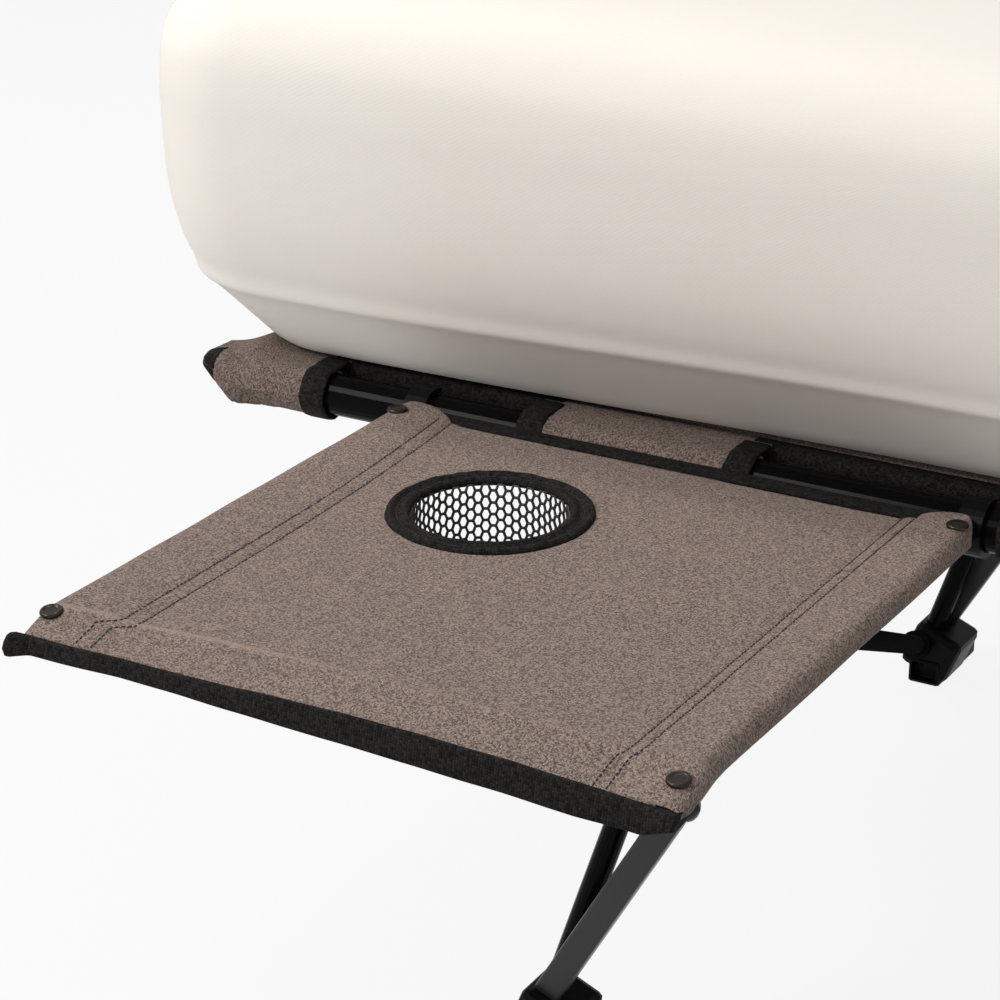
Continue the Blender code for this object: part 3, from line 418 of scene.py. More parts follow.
def sleeve_tip(x, y, z, side):
    """Where a point of a sleeve goes past the deck's end: slack folds, then a mouth pinched to the top."""
    x_out = abs(x)
    slack = min((x_out - TIP_START) / 0.03, 1.0)
    pinch = max(0.0, (x_out - 0.968) / 0.0265) ** 1.2
    out, up = abs(y) - RAIL_Y, z - RAIL_Z
    if out < 0.0 and abs(up) < 0.0158 and abs(y) < RAIL_Y - 0.0149:
        out = -0.0152
    angle = atan2(up, out)
    fold = sin(58 * (x_out - 0.93) + 2.6 * angle) + 0.6 * sin(143 * (x_out - 0.93) - 1.7 * angle + 1.0)
    crisp = 1 - ramp((x_out - 0.974) / 0.010)
    for start, slope, low in ((0.933, 27.0, -0.95), (0.957, 52.0, -1.0), (0.941, 33.0, 0.35)):
        off = angle - low - slope * (x_out - start)
        fold += crisp * (0.8 * hump(off - 0.30, 0.20) - 1.2 * hump(off, 0.16))
    swell = 1 + slack * (1 - 0.7 * pinch) * (0.150 + 0.125 * fold - 0.050 * sin(angle))
    out, up = out * swell, up * swell
    up = 0.0128 - (0.0128 - up) * (1 - 0.66 * min(pinch, 1.0))
    out *= 1 - 0.30 * pinch
    return x, side * (RAIL_Y + out), RAIL_Z + up


deck_rows = [[(x, y, DECK_TOP + deck_sag(x, y)) for y in (DECK_Y * (j / 20 - 1) for j in range(41))]
             for x in (DECK_X * (1 - i / 80) for i in range(161))]
deck = thicken(skin("deck_fabric_sheet", deck_rows, shaded_deck_taupe), 0.0012)
settle(deck, "frame", "taupe_canvas", "deck_fabric")
spans = [(-SLEEVE_END, -BARE[0][1]), (-BARE[0][0], -BARE[1][1]), (-BARE[1][0], BARE[1][0]),
         (BARE[1][1], BARE[0][0]), (BARE[0][1], SLEEVE_END)]
for side, label in ((-1, "near"), (1, "far")):
    for index, (low, high) in enumerate(spans):
        rows = []
        at_end = index in (0, 4)
        count = int((high - low) / (0.0020 if at_end else 0.008))
        for i in range(count + 1):
            x = low + (high - low) * i / count
            if abs(x) > 0.985:
                x *= 1 + 0.003 * (abs(x) - 0.985) / 0.006 / SLEEVE_END
            inner = [(x, side * y, DECK_TOP) for y in (DECK_Y, 0.341, 0.349, 0.357)]
            ring = round_rail(RAIL_Y, side, 90, -180, 90 if at_end else 26, SLEEVE_R, x, 0.0011)
            under = round_rail(RAIL_Y, side, -188, -244, 5, SLEEVE_R - 0.0004, x, 0.0)
            row = inner + ring + under
            if abs(x) > TIP_START:
                row = [sleeve_tip(*point, side) for point in row]
            rows.append(row)
        part = skin(f"{label}_sleeve_{index}", rows, shaded_deck_taupe)
        settle(thicken(part, CLOTH_THICK, 0.0), "frame", "taupe_canvas")
for along, label in ((-1, "head"), (1, "foot")):
    rows = []
    for j in range(77):
        y = END_BAR_HALF * (j / 38 - 1)
        row = [(along * x, y, DECK_TOP) for x in (0.9265, 0.936, 0.946, 0.956, 0.964)]
        turns = [(radians(90 - 270 * k / 26), 1.0) for k in range(27)]
        for angle, loose in turns + [(radians(-188 - 14 * k), 0.0) for k in range(5)]:
            reach = SLEEVE_R + (ripple((along, y * 3, angle), 9.0, 0.0008, 5.0) if loose else -0.0004)
            row.append((along * (END_BAR_X + reach * cos(angle)), y, RAIL_Z + reach * sin(angle)))
        rows.append(row)
    part = skin(f"{label}_bar_sleeve", rows, shaded_deck_taupe)
    settle(thicken(part, CLOTH_THICK, 0.0), "frame", "taupe_canvas")

# ---- binding on the sleeve ends
# Black woven tape is folded over each cut end of the sleeves and round their pinched mouths. It also
# covers the deck's edge where the rail is bare.
TAPE, BINDING_R, MOUTH_X = 0.019, 0.0164, 0.9895
ENDS = {-1: "head", 1: "foot"}


def tape_section(width, thick, steps=5):
    """Half-widths and heights of a tape folded over an edge, as a closed flattened ring."""
    points = []
    for k in range(4 * steps):
        angle = 2 * pi * k / (4 * steps)
        c, s = cos(angle), sin(angle)
        points.append((copysign(width / 2 * abs(c) ** 0.35, c), copysign(thick / 2 * abs(s) ** 0.7, s)))
    return points


def close_ends(piece, merge=0.0, fill_holes=True):
    """Merges a swept piece's doubled points, closes its open ends and turns its faces outwards."""
    bm = bmesh.new()
    bm.from_mesh(piece.data)
    if merge:
        bmesh.ops.remove_doubles(bm, verts=bm.verts, dist=merge)
    if fill_holes:
        bmesh.ops.holes_fill(bm, edges=[edge for edge in bm.edges if edge.is_boundary], sides=0)
    bmesh.ops.recalc_face_normals(bm, faces=bm.faces)
    bm.to_mesh(piece.data)
    bm.free()
    piece.data.shade_smooth()
    return piece


def tape(name, rows, body, *stands_for, merge=0.0):
    """A length of black tape through rows of its section."""
    piece = close_ends(skin(name, rows, black_tape, closed=True), merge)
    return settle(piece, body, "black_webbing", *stands_for)


section = tape_section(TAPE, 0.0034)
edge_section = ((0.3335, 0.4846, 0), (0.3390, 0.4848, 0), (0.3430, 0.4842, 0), (0.3452, 0.4822, 0.5),
                (0.3459, 0.4780, 1), (0.3461, 0.4720, 1), (0.3455, 0.4705, 1), (0.3443, 0.4703, 1),
                (0.3437, 0.4720, 1), (0.3436, 0.4775, 1), (0.3430, 0.4805, 0.5), (0.3410, 0.4822, 0),
                (0.3335, 0.4824, 0))
for side, label in ((-1, "near"), (1, "far")):
    for low, high in BARE:
        for along in (-1, 1):
            for edge, outward in ((low, -1), (high, 1)):
                x = along * (edge + outward * 0.0082)
                wander = ripple((x, 2.0, side), 3.0, 0.0012, 1.0)
                rows = [[(x + u + wander, side * y, 0.4847 + v) for u, v in section]
                        for y in (0.3465, 0.3500, 0.3535, 0.3570)]
                for k in range(42):
                    angle = radians(101 - 331 * k / 41)
                    lump = ripple((x, angle, side), 5.0, 0.0006, 7.0)
                    wander = ripple((x, angle, 4), 3.0, 0.0012, 1.0)
                    rows.append([(x + u + wander, side * (RAIL_Y + (BINDING_R + lump + v) * cos(angle)),
                                  RAIL_Z + (BINDING_R + lump + v) * sin(angle)) for u, v in section])
                tape(f"{label}_sleeve_binding_{ENDS[along]}_{int(edge * 1000)}", rows, "frame")
            rows = []
            for k in range(41):
                x = along * (low - 0.0135 + (high - low + 0.027) * k / 40)
                wave = ripple((x, side, 0), 30.0, 0.0009, 9.0)
                rows.append([(x, side * (y + wave * hang), z) for y, z, hang in edge_section])
            tape(f"{label}_deck_edge_{ENDS[along]}_{int(low * 1000)}", rows, "frame")
for side, label in ((-1, "near"), (1, "far")):
    for along, end in ENDS.items():
        rows = []
        for k in range(41):
            angle = 2 * pi * k / 40
            row = []
            for u, v in tape_section(0.0115, 0.0030):
                x = along * (MOUTH_X + u + ripple((cos(angle), sin(angle), side), 2.0, 0.0012, 3.0))
                reach = 0.0158 + v
                y, z = side * (RAIL_Y + reach * cos(angle)), RAIL_Z + reach * sin(angle)
                row.append(sleeve_tip(x, y, z, side))
            rows.append(row)
        tape(f"{label}_{end}_mouth_binding", rows, "frame", merge=0.00001)

# ---- air mattress in its cover
# A tall flocked air mattress inside a fitted cream knitted cover. It bulges over the rails, turns
# under at a welded edge a fifth of the way up, and tapers in to where it rests on the deck.
HEAD_X, FOOT_X, HALF_Y, BASE_Z, SEAM = -1.048, 1.000, 0.410, 0.4842, 0.0545
side_shape = ((0.200, 0.0), (0.130, 0.0), (0.085, 0.0002), (0.0660, 0.0028), (0.0575, 0.0090),
              (0.0480, 0.0205), (0.0375, 0.0335), (0.0280, 0.0450), (0.0225, 0.0510), (0.0198, 0.0533),
              (0.0182, 0.0556), (0.0172, 0.0590), (0.0155, 0.0660), (0.0100, 0.0810), (0.0045, 0.1050),
              (0.0015, 0.1350), (0.0005, 0.1650), (0.0010, 0.1950), (0.0065, 0.2240), (0.0240, 0.2500),
              (0.055, 0.266), (0.120, 0.2765), (0.220, 0.2825), (0.330, 0.2850), (0.400, 0.2855))


def spread(points, count):
    """Points on a smooth curve through the given ones, closer together where those are."""
    given = np.array(points, float)
    lengths = np.concatenate([[0], np.cumsum(np.linalg.norm(np.diff(given, axis=0), axis=1) ** 0.5)])
    ends = np.vstack([2 * given[0] - given[1], given, 2 * given[-1] - given[-2]])
    out = []
    for t in np.linspace(0, lengths[-1], count):
        i = min(int(np.searchsorted(lengths, t, side="right")) - 1, len(given) - 2)
        u = (t - lengths[i]) / max(lengths[i + 1] - lengths[i], 1e-9)
        p0, p1, p2, p3 = ends[i], ends[i + 1], ends[i + 2], ends[i + 3]
        out.append(0.5 * (2 * p1 + (p2 - p0) * u + (2 * p0 - 5 * p1 + 4 * p2 - p3) * u * u
                          + (3 * p1 - p0 - 3 * p2 + p3) * u ** 3))
    return out


def rim(inset, corner_steps=14, side_steps=44, end_steps=18):
    """Points round the mattress's plan at an inset, with rounded corners."""
    corner = max(0.100 - 0.5 * inset, 0.004)
    high, low, half = FOOT_X - inset - corner, HEAD_X + inset + corner, max(HALF_Y - inset, corner) - corner
    centres = ((high, half), (low, half), (low, -half), (high, -half))
    points = []
    for k, centre in enumerate(centres):
        for step in range(corner_steps):
            angle = radians(90 * (k + step / corner_steps))
            points.append((centre[0] + corner * cos(angle), centre[1] + corner * sin(angle)))
        reach = corner * cos(radians(90 * k + 90)), corner * sin(radians(90 * k + 90))
        run = end_steps if k % 2 else side_steps
        points += [tuple(c + r + (n - c) * step / run for c, n, r in zip(centre, centres[(k + 1) % 4], reach))
                   for step in range(run)]
    return points


def cover_relief(x, y, rise):
    """Soft unevenness of the inflated sides, and the pull of the cover where it tucks under."""
    size = 0.0022 * hump(rise - 0.16, 0.10) + 0.0010
    wave = ripple((x, y, rise * 1.5), 3.2, size, 11.0)
    tuck = hump(rise - 0.022, 0.020)
    pull = ripple((x * 0.9 + rise * 1.1, y, rise * 0.6), 13.0, 0.0016, 21.0) * tuck
    return wave + pull


rows = []
for inset, rise in spread(side_shape, 110):
    row = []
    low_part = ramp((0.135 - rise) / (0.135 - SEAM))
    loop = rim(max(inset, 0.0))
    count = len(loop)
    for i, (x, y) in enumerate(loop):
        px, py = loop[i - 1]
        nx, ny = loop[(i + 1) % count]
        out = Vector((ny - py, px - nx, 0.0))
        out = out.normalized() if out.length > 1e-6 else Vector((0, 0, 0))
        give = cover_relief(x, y, rise) if rise > 0.003 else 0.0
        upward = ramp((rise - 0.262) / 0.012)
        push = out * give * (1 - upward)
        away = ramp((min(x - HEAD_X, FOOT_X - x) - 0.15) / 0.45)
        away *= away * (3 - 2 * away)
        higher = 0.19 * away * min(rise, SEAM) * low_part
        under = 0.30 * away * max(inset - 0.0182, 0.0) * (rise < SEAM and abs(y) > 0.3)
        y += copysign(under, -y)
        row.append((x + push.x, y + push.y, BASE_Z + rise + higher + give * 0.6 * upward))
    rows.append(row)
cover, cover_tree, cover_shader = finish_material("cream_knit_cover", 0.92, Specular_IOR_Level=0.18,
                                                  Sheen_Weight=0.25, Sheen_Roughness=0.45,
                                                  Sheen_Tint=(1.0, 0.97, 0.92, 1.0))
chart = node(cover_tree, "UVMap", uv_map="cloth").outputs["UV"]
stitches = node(cover_tree, "Mapping", {"Vector": chart, "Scale": (620.0, 760.0, 1.0)}).outputs[0]
loops = node(cover_tree, "TexNoise", {"Vector": stitches, "Scale": 1.0, "Detail": 2.0}, noise_dimensions="2D")
courses = node(cover_tree, "TexWave",
               {"Vector": stitches, "Scale": 0.5, "Distortion": 1.5, "Detail": 1.0},
               wave_type="BANDS", bands_direction="Y")
relief = maths(cover_tree, "MULTIPLY_ADD", loops.outputs["Fac"], 0.45, courses.outputs["Fac"])
cloth_bump = node(cover_tree, "Bump", {"Strength": 0.22, "Distance": 0.0003, "Height": relief})
place = node(cover_tree, "TexCoord").outputs["Object"]
cast = node(cover_tree, "TexNoise", {"Vector": place, "Scale": 5.0, "Detail": 4.0, "Roughness": 0.6})
shade = node(cover_tree, "Mix",
             {"Factor": cast.outputs["Fac"], 6: (0.845, 0.795, 0.725, 1), 7: (0.885, 0.845, 0.785, 1)},
             data_type="RGBA")
fleck = node(cover_tree, "Mix",
             {0: 0.06, 6: shade.outputs[2], 7: loops.outputs["Color"]},
             data_type="RGBA", blend_type="MULTIPLY")
fill(cover_shader, {"Base Color": fleck.outputs[2], "Normal": cloth_bump.outputs[0]})
mattress = close_ends(skin("air_mattress", rows, cover, closed=True))

# The valve sits in a round recess in the foot end's face.
VALVE, RECESS_R = Vector((1.000, 0.20, 0.605)) + BED, 0.0292
bore_mesh = bpy.data.meshes.new("recess")
bm = bmesh.new()
where = Matrix.Translation(VALVE + Vector((0.004, 0, 0))) @ Matrix.Rotation(pi / 2, 4, "Y")
bmesh.ops.create_cone(bm, cap_ends=True, segments=48, radius1=RECESS_R, radius2=RECESS_R, depth=0.024,
                      matrix=where)
bm.to_mesh(bore_mesh)
bm.free()
recess = placed("recess", bore_mesh)
cut = mattress.modifiers.new("recess", "BOOLEAN")
cut.operation = "DIFFERENCE"
cut.object = recess
mattress = applied(mattress)
bpy.data.objects.remove(recess)
settle(mattress, "frame", "cream_cover", "airbed")

# ---- mattress valve
# A black moulded valve in the end of the mattress: a flat seat with a raised collar, and a round
# cap on a living hinge at its top, with a finger ridge across it.
valve_plastic = worn("black_valve_plastic", (0.014, 0.014, 0.015), (0.15, 0.14, 0.13), 0.15, 0.0006, 0.2,
                     0.42, 0.3)
dress(valve_plastic, "valve_seat", "valve_cap")

# ---- side table: poles and bars
# Two thin coated tubes carry the table's cloth in its hems, with a bar across their outer ends
# under the cloth and another near the bed. Glossy domed caps close the outer bar.
dress(powder_coat, "table_left_pole", "table_right_pole", "table_outer_bar", "table_inner_bar")
cap_gloss = worn("glossy_cap_plastic", (0.008, 0.008, 0.0085), (0.1, 0.1, 0.1), 0.08, 0.0015, 0.05, 0.16,
                 0.1, Specular_IOR_Level=0.22)
dress(cap_gloss, "outer_bar_cap_left", "outer_bar_cap_right")

# ---- hooks and rail stops
# A moulded hook on the end of each pole clips over the bare rail, and rests on a small steel stop
# under it, which keeps the table level.
dress(foot_plastic, "table_left_hook", "table_right_hook")
dress(powder_coat, "rail_stop_left", "rail_stop_right")

# ---- side table's cloth
# A taupe cloth is hemmed round both poles, with a double row of dark stitching inboard of each. It
# goes over the outer bar, slopes down beyond it, and has a hole for the cup net near the bed.
FLAT, POLE_Z, POLES, CUP = 0.4772, 0.4722, (-0.823, -0.4335), (-0.687, -0.513)
HEM_R, HEMS, STITCH_GAPS = 0.009, (0.0487, 0.0365), (0.0098, 0.0076)
INNER_Y, OUTER_Y, TONGUE = -0.3800, -0.7800, 0.0395
SIDES = ((POLES[0], 1, HEMS[0], STITCH_GAPS[0]), (POLES[1], -1, HEMS[1], STITCH_GAPS[1]))


def crease_y(x):
    """Where the cloth bends down over the outer bar; its middle is drawn in a little."""
    share = (x - POLES[0]) / (POLES[1] - POLES[0])
    return -0.7415 - 0.0145 * max(0.0, 1 - share / 0.45) ** 2 - 0.0050 * max(0.0, (share - 0.55) / 0.45) ** 2


def hem_line(y, inward, hem, row):
    """How far inboard of its pole a row of stitching runs; the left ones draw in toward the bed."""
    drawn = 0.0095 * (max(y + 0.62, 0.0) / 0.22) ** 2 if inward > 0 else 0.0
    return hem - row - drawn


UNDER, ROUND, SLOPE_STEPS, CLOSE, ACROSS = 9, 30, 36, 12, 84


def hem_section(hem):
    """The hem round a pole, from its stitching under the pole to the flat, and its two touching angles."""
    toward = atan2(FLAT - POLE_Z, hem)
    swing = acos(HEM_R / sqrt(hem ** 2 + (FLAT - POLE_Z) ** 2))
    upper, lower = degrees(toward + swing), degrees(toward - swing) + 360
    stitch = (hem, FLAT - 0.0016)
    end = (HEM_R * cos(radians(lower)), POLE_Z + HEM_R * sin(radians(lower)))
    points = [(stitch[0] + (end[0] - stitch[0]) * k / UNDER, stitch[1] + (end[1] - stitch[1]) * k / UNDER)
              for k in range(UNDER)]
    for k in range(ROUND + 1):
        angle = radians(lower + (upper - lower) * k / ROUND)
        points.append((HEM_R * cos(angle), POLE_Z + HEM_R * sin(angle)))
    crown = points[-1]
    for k in range(1, SLOPE_STEPS + 1):
        share = k / SLOPE_STEPS
        points.append((crown[0] + (hem - crown[0]) * share,
                       crown[1] + (FLAT - crown[1]) * share + 0.0009 * sin(pi * share)))
    return points, upper, lower


left_hem, upper_touch, lower_touch = hem_section(HEMS[0])
right_hem = hem_section(HEMS[1])[0]
HEM_COLUMNS = len(left_hem)
outline = [(POLES[0] + d, z, d, k) for k, (d, z) in enumerate(left_hem)]
close = [0.0009 * k for k in range(1, CLOSE + 1)]
span = POLES[1] - POLES[0] - HEMS[0] - HEMS[1]
middle = [close[-1] + (span - 2 * close[-1]) * k / ACROSS for k in range(1, ACROSS)]
outline += [(POLES[0] + HEMS[0] + d, FLAT, 1.0, HEM_COLUMNS)
            for d in close + middle + [span - d for d in reversed(close)]]
outline += [(POLES[1] - d, z, d, k) for k, (d, z) in reversed(list(enumerate(right_hem)))]


def table_lift(x, y):
    """Height of the cloth's top above its plain section: stitched valleys, slack and faint ridges."""
    lift = 0.0
    for pole, inward, hem, gap in SIDES:
        for row in (0.0, gap):
            line = pole + inward * hem_line(y, inward, hem, row)
            pucker = 0.6 + 0.4 * sin(2 * pi * y / 0.0036 + row * 400)
            lift -= 0.0008 * hump(x - line, 0.0016) * pucker
    inner = ramp((x - POLES[0] - HEMS[0]) / 0.02) * ramp((POLES[1] - HEMS[1] - x) / 0.02)
    lift += inner * ripple((x, y, 0.0), 7.0, 0.0010, 31.0) + ripple((x, y, 2.0), 26.0, 0.0003, 37.0)
    lift += 0.0008 * hump(y - crease_y(x), 0.0017) + 0.0006 * inner * hump(y + 0.412, 0.004)
    for corner_x, side in ((POLES[0], 1), (POLES[1], -1)):
        along, off = side * (x - corner_x), -(y + 0.7625)
        for turn, deep in ((0.10, 0.0011), (0.42, 0.0009), (-0.25, 0.0006)):
            reach = along * cos(turn) + off * sin(turn)
            away = off * cos(turn) - along * sin(turn)
            if 0.007 < reach < 0.036:
                lift -= deep * hump(away, 0.0019) * sin(pi * (reach - 0.007) / 0.029)
    ridge = hump(y + 0.575 - 0.12 * (x + 0.55), 0.007)
    return lift + 0.0007 * inner * ridge * ramp((x + 0.60) / 0.05)


def edge_drop(x):
    """How far the cloth's outer edge lies below the flat of the table."""
    share = (x - POLES[0]) / (POLES[1] - POLES[0])
    return 0.0035 + 0.0050 * (2 * share - 0.9) ** 2


def cloth_place(x, z, y, top):
    """A point of the table's section at y, with the fall of the apron beyond the outer bar."""
    past = max(crease_y(x) - y, 0.0) / (crease_y(x) - OUTER_Y)
    slope = FLAT + (z - FLAT) * (1 - 0.35 * past) - edge_drop(x) * (0.75 * past + 0.25 * past * past)
    return slope + (table_lift(x, y) if top else 0.0)


def inner_end(d):
    """Where the cloth ends near the bed: a rounded tongue over each pole and a straight edge between."""
    if d > TONGUE:
        return INNER_Y - 0.0170
    if d > 0.006:
        return INNER_Y - 0.0170 * ((d - 0.006) / (TONGUE - 0.006)) ** 2.2
    return INNER_Y - 0.0180 * ((0.006 - d) / (0.006 + HEM_R)) ** 2.4


ROW_BLEND, ROWS, APRON_ROWS = 26, 160, 26
BLEND_Y, HOLE_R = -0.4300, 0.0518
rows = []
for i in range(ROWS + APRON_ROWS + 3):
    row = []
    tucked = max(i - ROWS - APRON_ROWS, 0)
    for x, z, d, column in outline:
        if i <= ROW_BLEND:
            start = inner_end(d)
            y = start + (BLEND_Y - start) * i / ROW_BLEND
        elif i <= ROWS:
            y = BLEND_Y + (crease_y(x) - BLEND_Y) * (1 - (1 - (i - ROW_BLEND) / (ROWS - ROW_BLEND)) ** 1.35)
        else:
            y = crease_y(x) + (OUTER_Y - crease_y(x)) * min((i - ROWS) / APRON_ROWS, 1.0) ** 1.35
        top = column > UNDER + ROUND - 3
        sway = ripple((0.3 if x > -0.63 else -0.3, y, 0.0), 16.0, 0.0006, 41.0) * (1 if abs(d) < 0.02 else 0)
        slack = 0.0 if top else ripple((x, y, z * 8), 18.0, 0.0003, 43.0)
        spread = 0.0020 * min(max(i - ROWS + 20, 0) / 26.0, 1.0) if x > POLES[1] - 0.002 else 0.0
        z = cloth_place(x, z, y, top) + slack - 0.0022 * tucked
        row.append((x + sway + spread, y - 0.0003 * tucked, z))
    rows.append(row)
table_cloth = skin("side_table_cloth", rows, taupe)
# Painted highlight along the crease over the outer bar, full toward the left pole and at a quarter strength
# elsewhere.
crease_highlight_line = table_cloth.data.attributes.new("crease_highlight", "FLOAT", "POINT")
crease_highlight_line.data.foreach_set("value", [
    hump(y - BED.y - crease_y(x - BED.x), 0.0020) * max(ramp((-0.60 - x + BED.x) / 0.10), 0.25)
    for x, y, _ in (vert.co for vert in table_cloth.data.vertices)])
wide = len(outline) - 1
bm = bmesh.new()
bm.from_mesh(table_cloth.data)
bm.faces.ensure_lookup_table()
centre = Vector((CUP[0], CUP[1], 0)) + BED
side_column, low_column, apron_column = (
    UNDER + int(ROUND * (lower_touch - angle) / (lower_touch - upper_touch)) for angle in (150, 250, 228))
doomed = []
for i in range(ROWS + APRON_ROWS + 2):
    for j in range(wide):
        face = bm.faces[i * wide + j]
        middle = face.calc_center_median() - BED
        column = min(outline[j][3], outline[j + 1][3])
        round_cup = Vector((middle.x - CUP[0], middle.y - CUP[1])).length < 0.0512 and column > UNDER + ROUND
        if round_cup or (column < side_column and middle.y > -0.3950) \
                or (column < low_column and middle.y > -0.4245) \
                or (column < apron_column * min((i - ROWS) / 16.0, 1.0) + max(0, i - ROWS - 14)) \
                or (i >= ROWS + APRON_ROWS and middle.x > POLES[1] - 0.004):
            doomed.append(face)
bmesh.ops.delete(bm, geom=doomed, context="FACES")
bmesh.ops.reverse_faces(bm, faces=bm.faces)
for vert in bm.verts:
    flat = Vector((vert.co.x - centre.x, vert.co.y - centre.y, 0))
    if vert.is_boundary and vert.co.z > FLAT - 0.003 and flat.length < 0.056:
        flat = flat.normalized() * HOLE_R
        vert.co.x, vert.co.y = centre.x + flat.x, centre.y + flat.y
bm.to_mesh(table_cloth.data)
bm.free()
table_cloth = thicken(table_cloth, 0.0010)
settle(table_cloth, "table", "taupe_canvas", "table_fabric")

# ---- stitching
# Every seam is a lockstitch in thick dark thread: two rows along each hem of the table, which turn
# aside a little past the outer bar, and one row round the cup holder's binding.
thread_black = worn("dark_thread", (0.022, 0.017, 0.015), (0.06, 0.05, 0.045), 0.2, 0.0004, 0.4, 0.8, 0.65)


def geometry_group(name, inputs, build):
    """A geometry tree with plain and material inputs, ending in real, smooth, painted meshes."""
    tree = bpy.data.node_groups.new(name, "GeometryNodeTree")
    tree.interface.new_socket("Geometry", in_out="INPUT", socket_type="NodeSocketGeometry")
    for label, value in inputs.items():
        tree.interface.new_socket(label, in_out="INPUT", socket_type="NodeSocketFloat").default_value = value
    tree.interface.new_socket("Material", in_out="INPUT", socket_type="NodeSocketMaterial")
    tree.interface.new_socket("Geometry", in_out="OUTPUT", socket_type="NodeSocketGeometry")
    given = tree.nodes.new("NodeGroupInput").outputs
    real = node(tree, "GeometryNodeRealizeInstances", {0: build(tree, given)})
    smooth = node(tree, "GeometryNodeSetShadeSmooth", {0: real.outputs[0]})
    painted = node(tree, "GeometryNodeSetMaterial",
                   {"Geometry": smooth.outputs[0], "Material": given["Material"]})
    fill(tree.nodes.new("NodeGroupOutput"), {0: painted.outputs[0]})
    return tree


def lay_stitches(tree, given):
    """Short rounded stitches along a curve."""
    line = node(tree, "GeometryNodeMeshToCurve", {"Mesh": given["Geometry"]})
    spaced = node(tree, "GeometryNodeResampleCurve",
                  {"Curve": line.outputs[0], "Length": given["Pitch"]}, mode="LENGTH")
    points = node(tree, "GeometryNodeCurveToPoints", {"Curve": spaced.outputs[0]}, mode="EVALUATED").outputs
    bead = node(tree, "GeometryNodeMeshUVSphere", {"Segments": 8, "Rings": 6, "Radius": 1.0})
    size = node(tree, "CombineXYZ", {0: given["Thread radius"], 1: given["Thread radius"],
                                     2: maths(tree, "MULTIPLY", given["Stitch length"], 0.5)})
    shaped = node(tree, "GeometryNodeTransform", {"Geometry": bead.outputs["Mesh"], "Scale": size.outputs[0]})
    return node(tree, "GeometryNodeInstanceOnPoints", {
        "Points": points["Points"], "Rotation": points["Rotation"], "Instance": shaped.outputs[0]}).outputs[0]


stitch_row = geometry_group("stitch_row", {"Pitch": 0.0036, "Stitch length": 0.0027, "Thread radius": 0.0003},
                            lay_stitches)


def run_nodes(piece, tree, values):
    """Runs a geometry tree on a piece and leaves its plain mesh."""
    step = piece.modifiers.new(tree.name, "NODES")
    step.node_group = tree
    for item in tree.interface.items_tree:
        if item.in_out == "INPUT" and item.name in values:
            step[item.identifier] = values[item.name]
    return applied(piece)


def threads(name, lines, body, slot, material, pitch=0.0036, length=0.0027, radius=0.0003):
    """Rows of stitches along lines of points, in the bed's own frame."""
    points, edges = [], []
    for line in lines:
        edges += [(len(points) + k, len(points) + k + 1) for k in range(len(line) - 1)]
        points += [Vector(place) + BED for place in line]
    mesh = bpy.data.meshes.new(name)
    mesh.from_pydata(points, edges, [])
    made = run_nodes(placed(name, mesh), stitch_row, {
        "Pitch": pitch, "Stitch length": length, "Thread radius": radius, "Material": material})
    return settle(made, body, slot)


def section_top(x):
    """Height of the table's plain section at x, between the two crowns."""
    for pole, inward, hem, _ in SIDES:
        d = inward * (x - pole)
        if 0 <= d < hem:
            crown = (left_hem if inward > 0 else right_hem)[UNDER + ROUND]
            share = (d - crown[0]) / (hem - crown[0])
            return crown[1] + (FLAT - crown[1]) * share + 0.0009 * sin(pi * share)
    return FLAT


lines = []
for (pole, inward, hem, gap), kink, turn in zip(SIDES, (-0.0105, 0.0035), (-0.7515, -0.746)):
    for row in (0.0, gap):
        line = []
        for k in range(190):
            y = INNER_Y - 0.0165 + (OUTER_Y + 0.0030 - INNER_Y + 0.0165) * k / 189
            past = ramp((turn - y) / 0.007)
            x = pole + inward * (hem_line(y, inward, hem, row) + kink * past)
            x += ripple((pole, y, row * 50), 9.0, 0.0004, 51.0)
            line.append((x, y, cloth_place(x, section_top(x), y, True) + 0.0004))
        lines.append(line)
threads("table_hem_stitching", lines, "table", "taupe_canvas", thread_black, 0.0036, 0.0028, 0.00043)

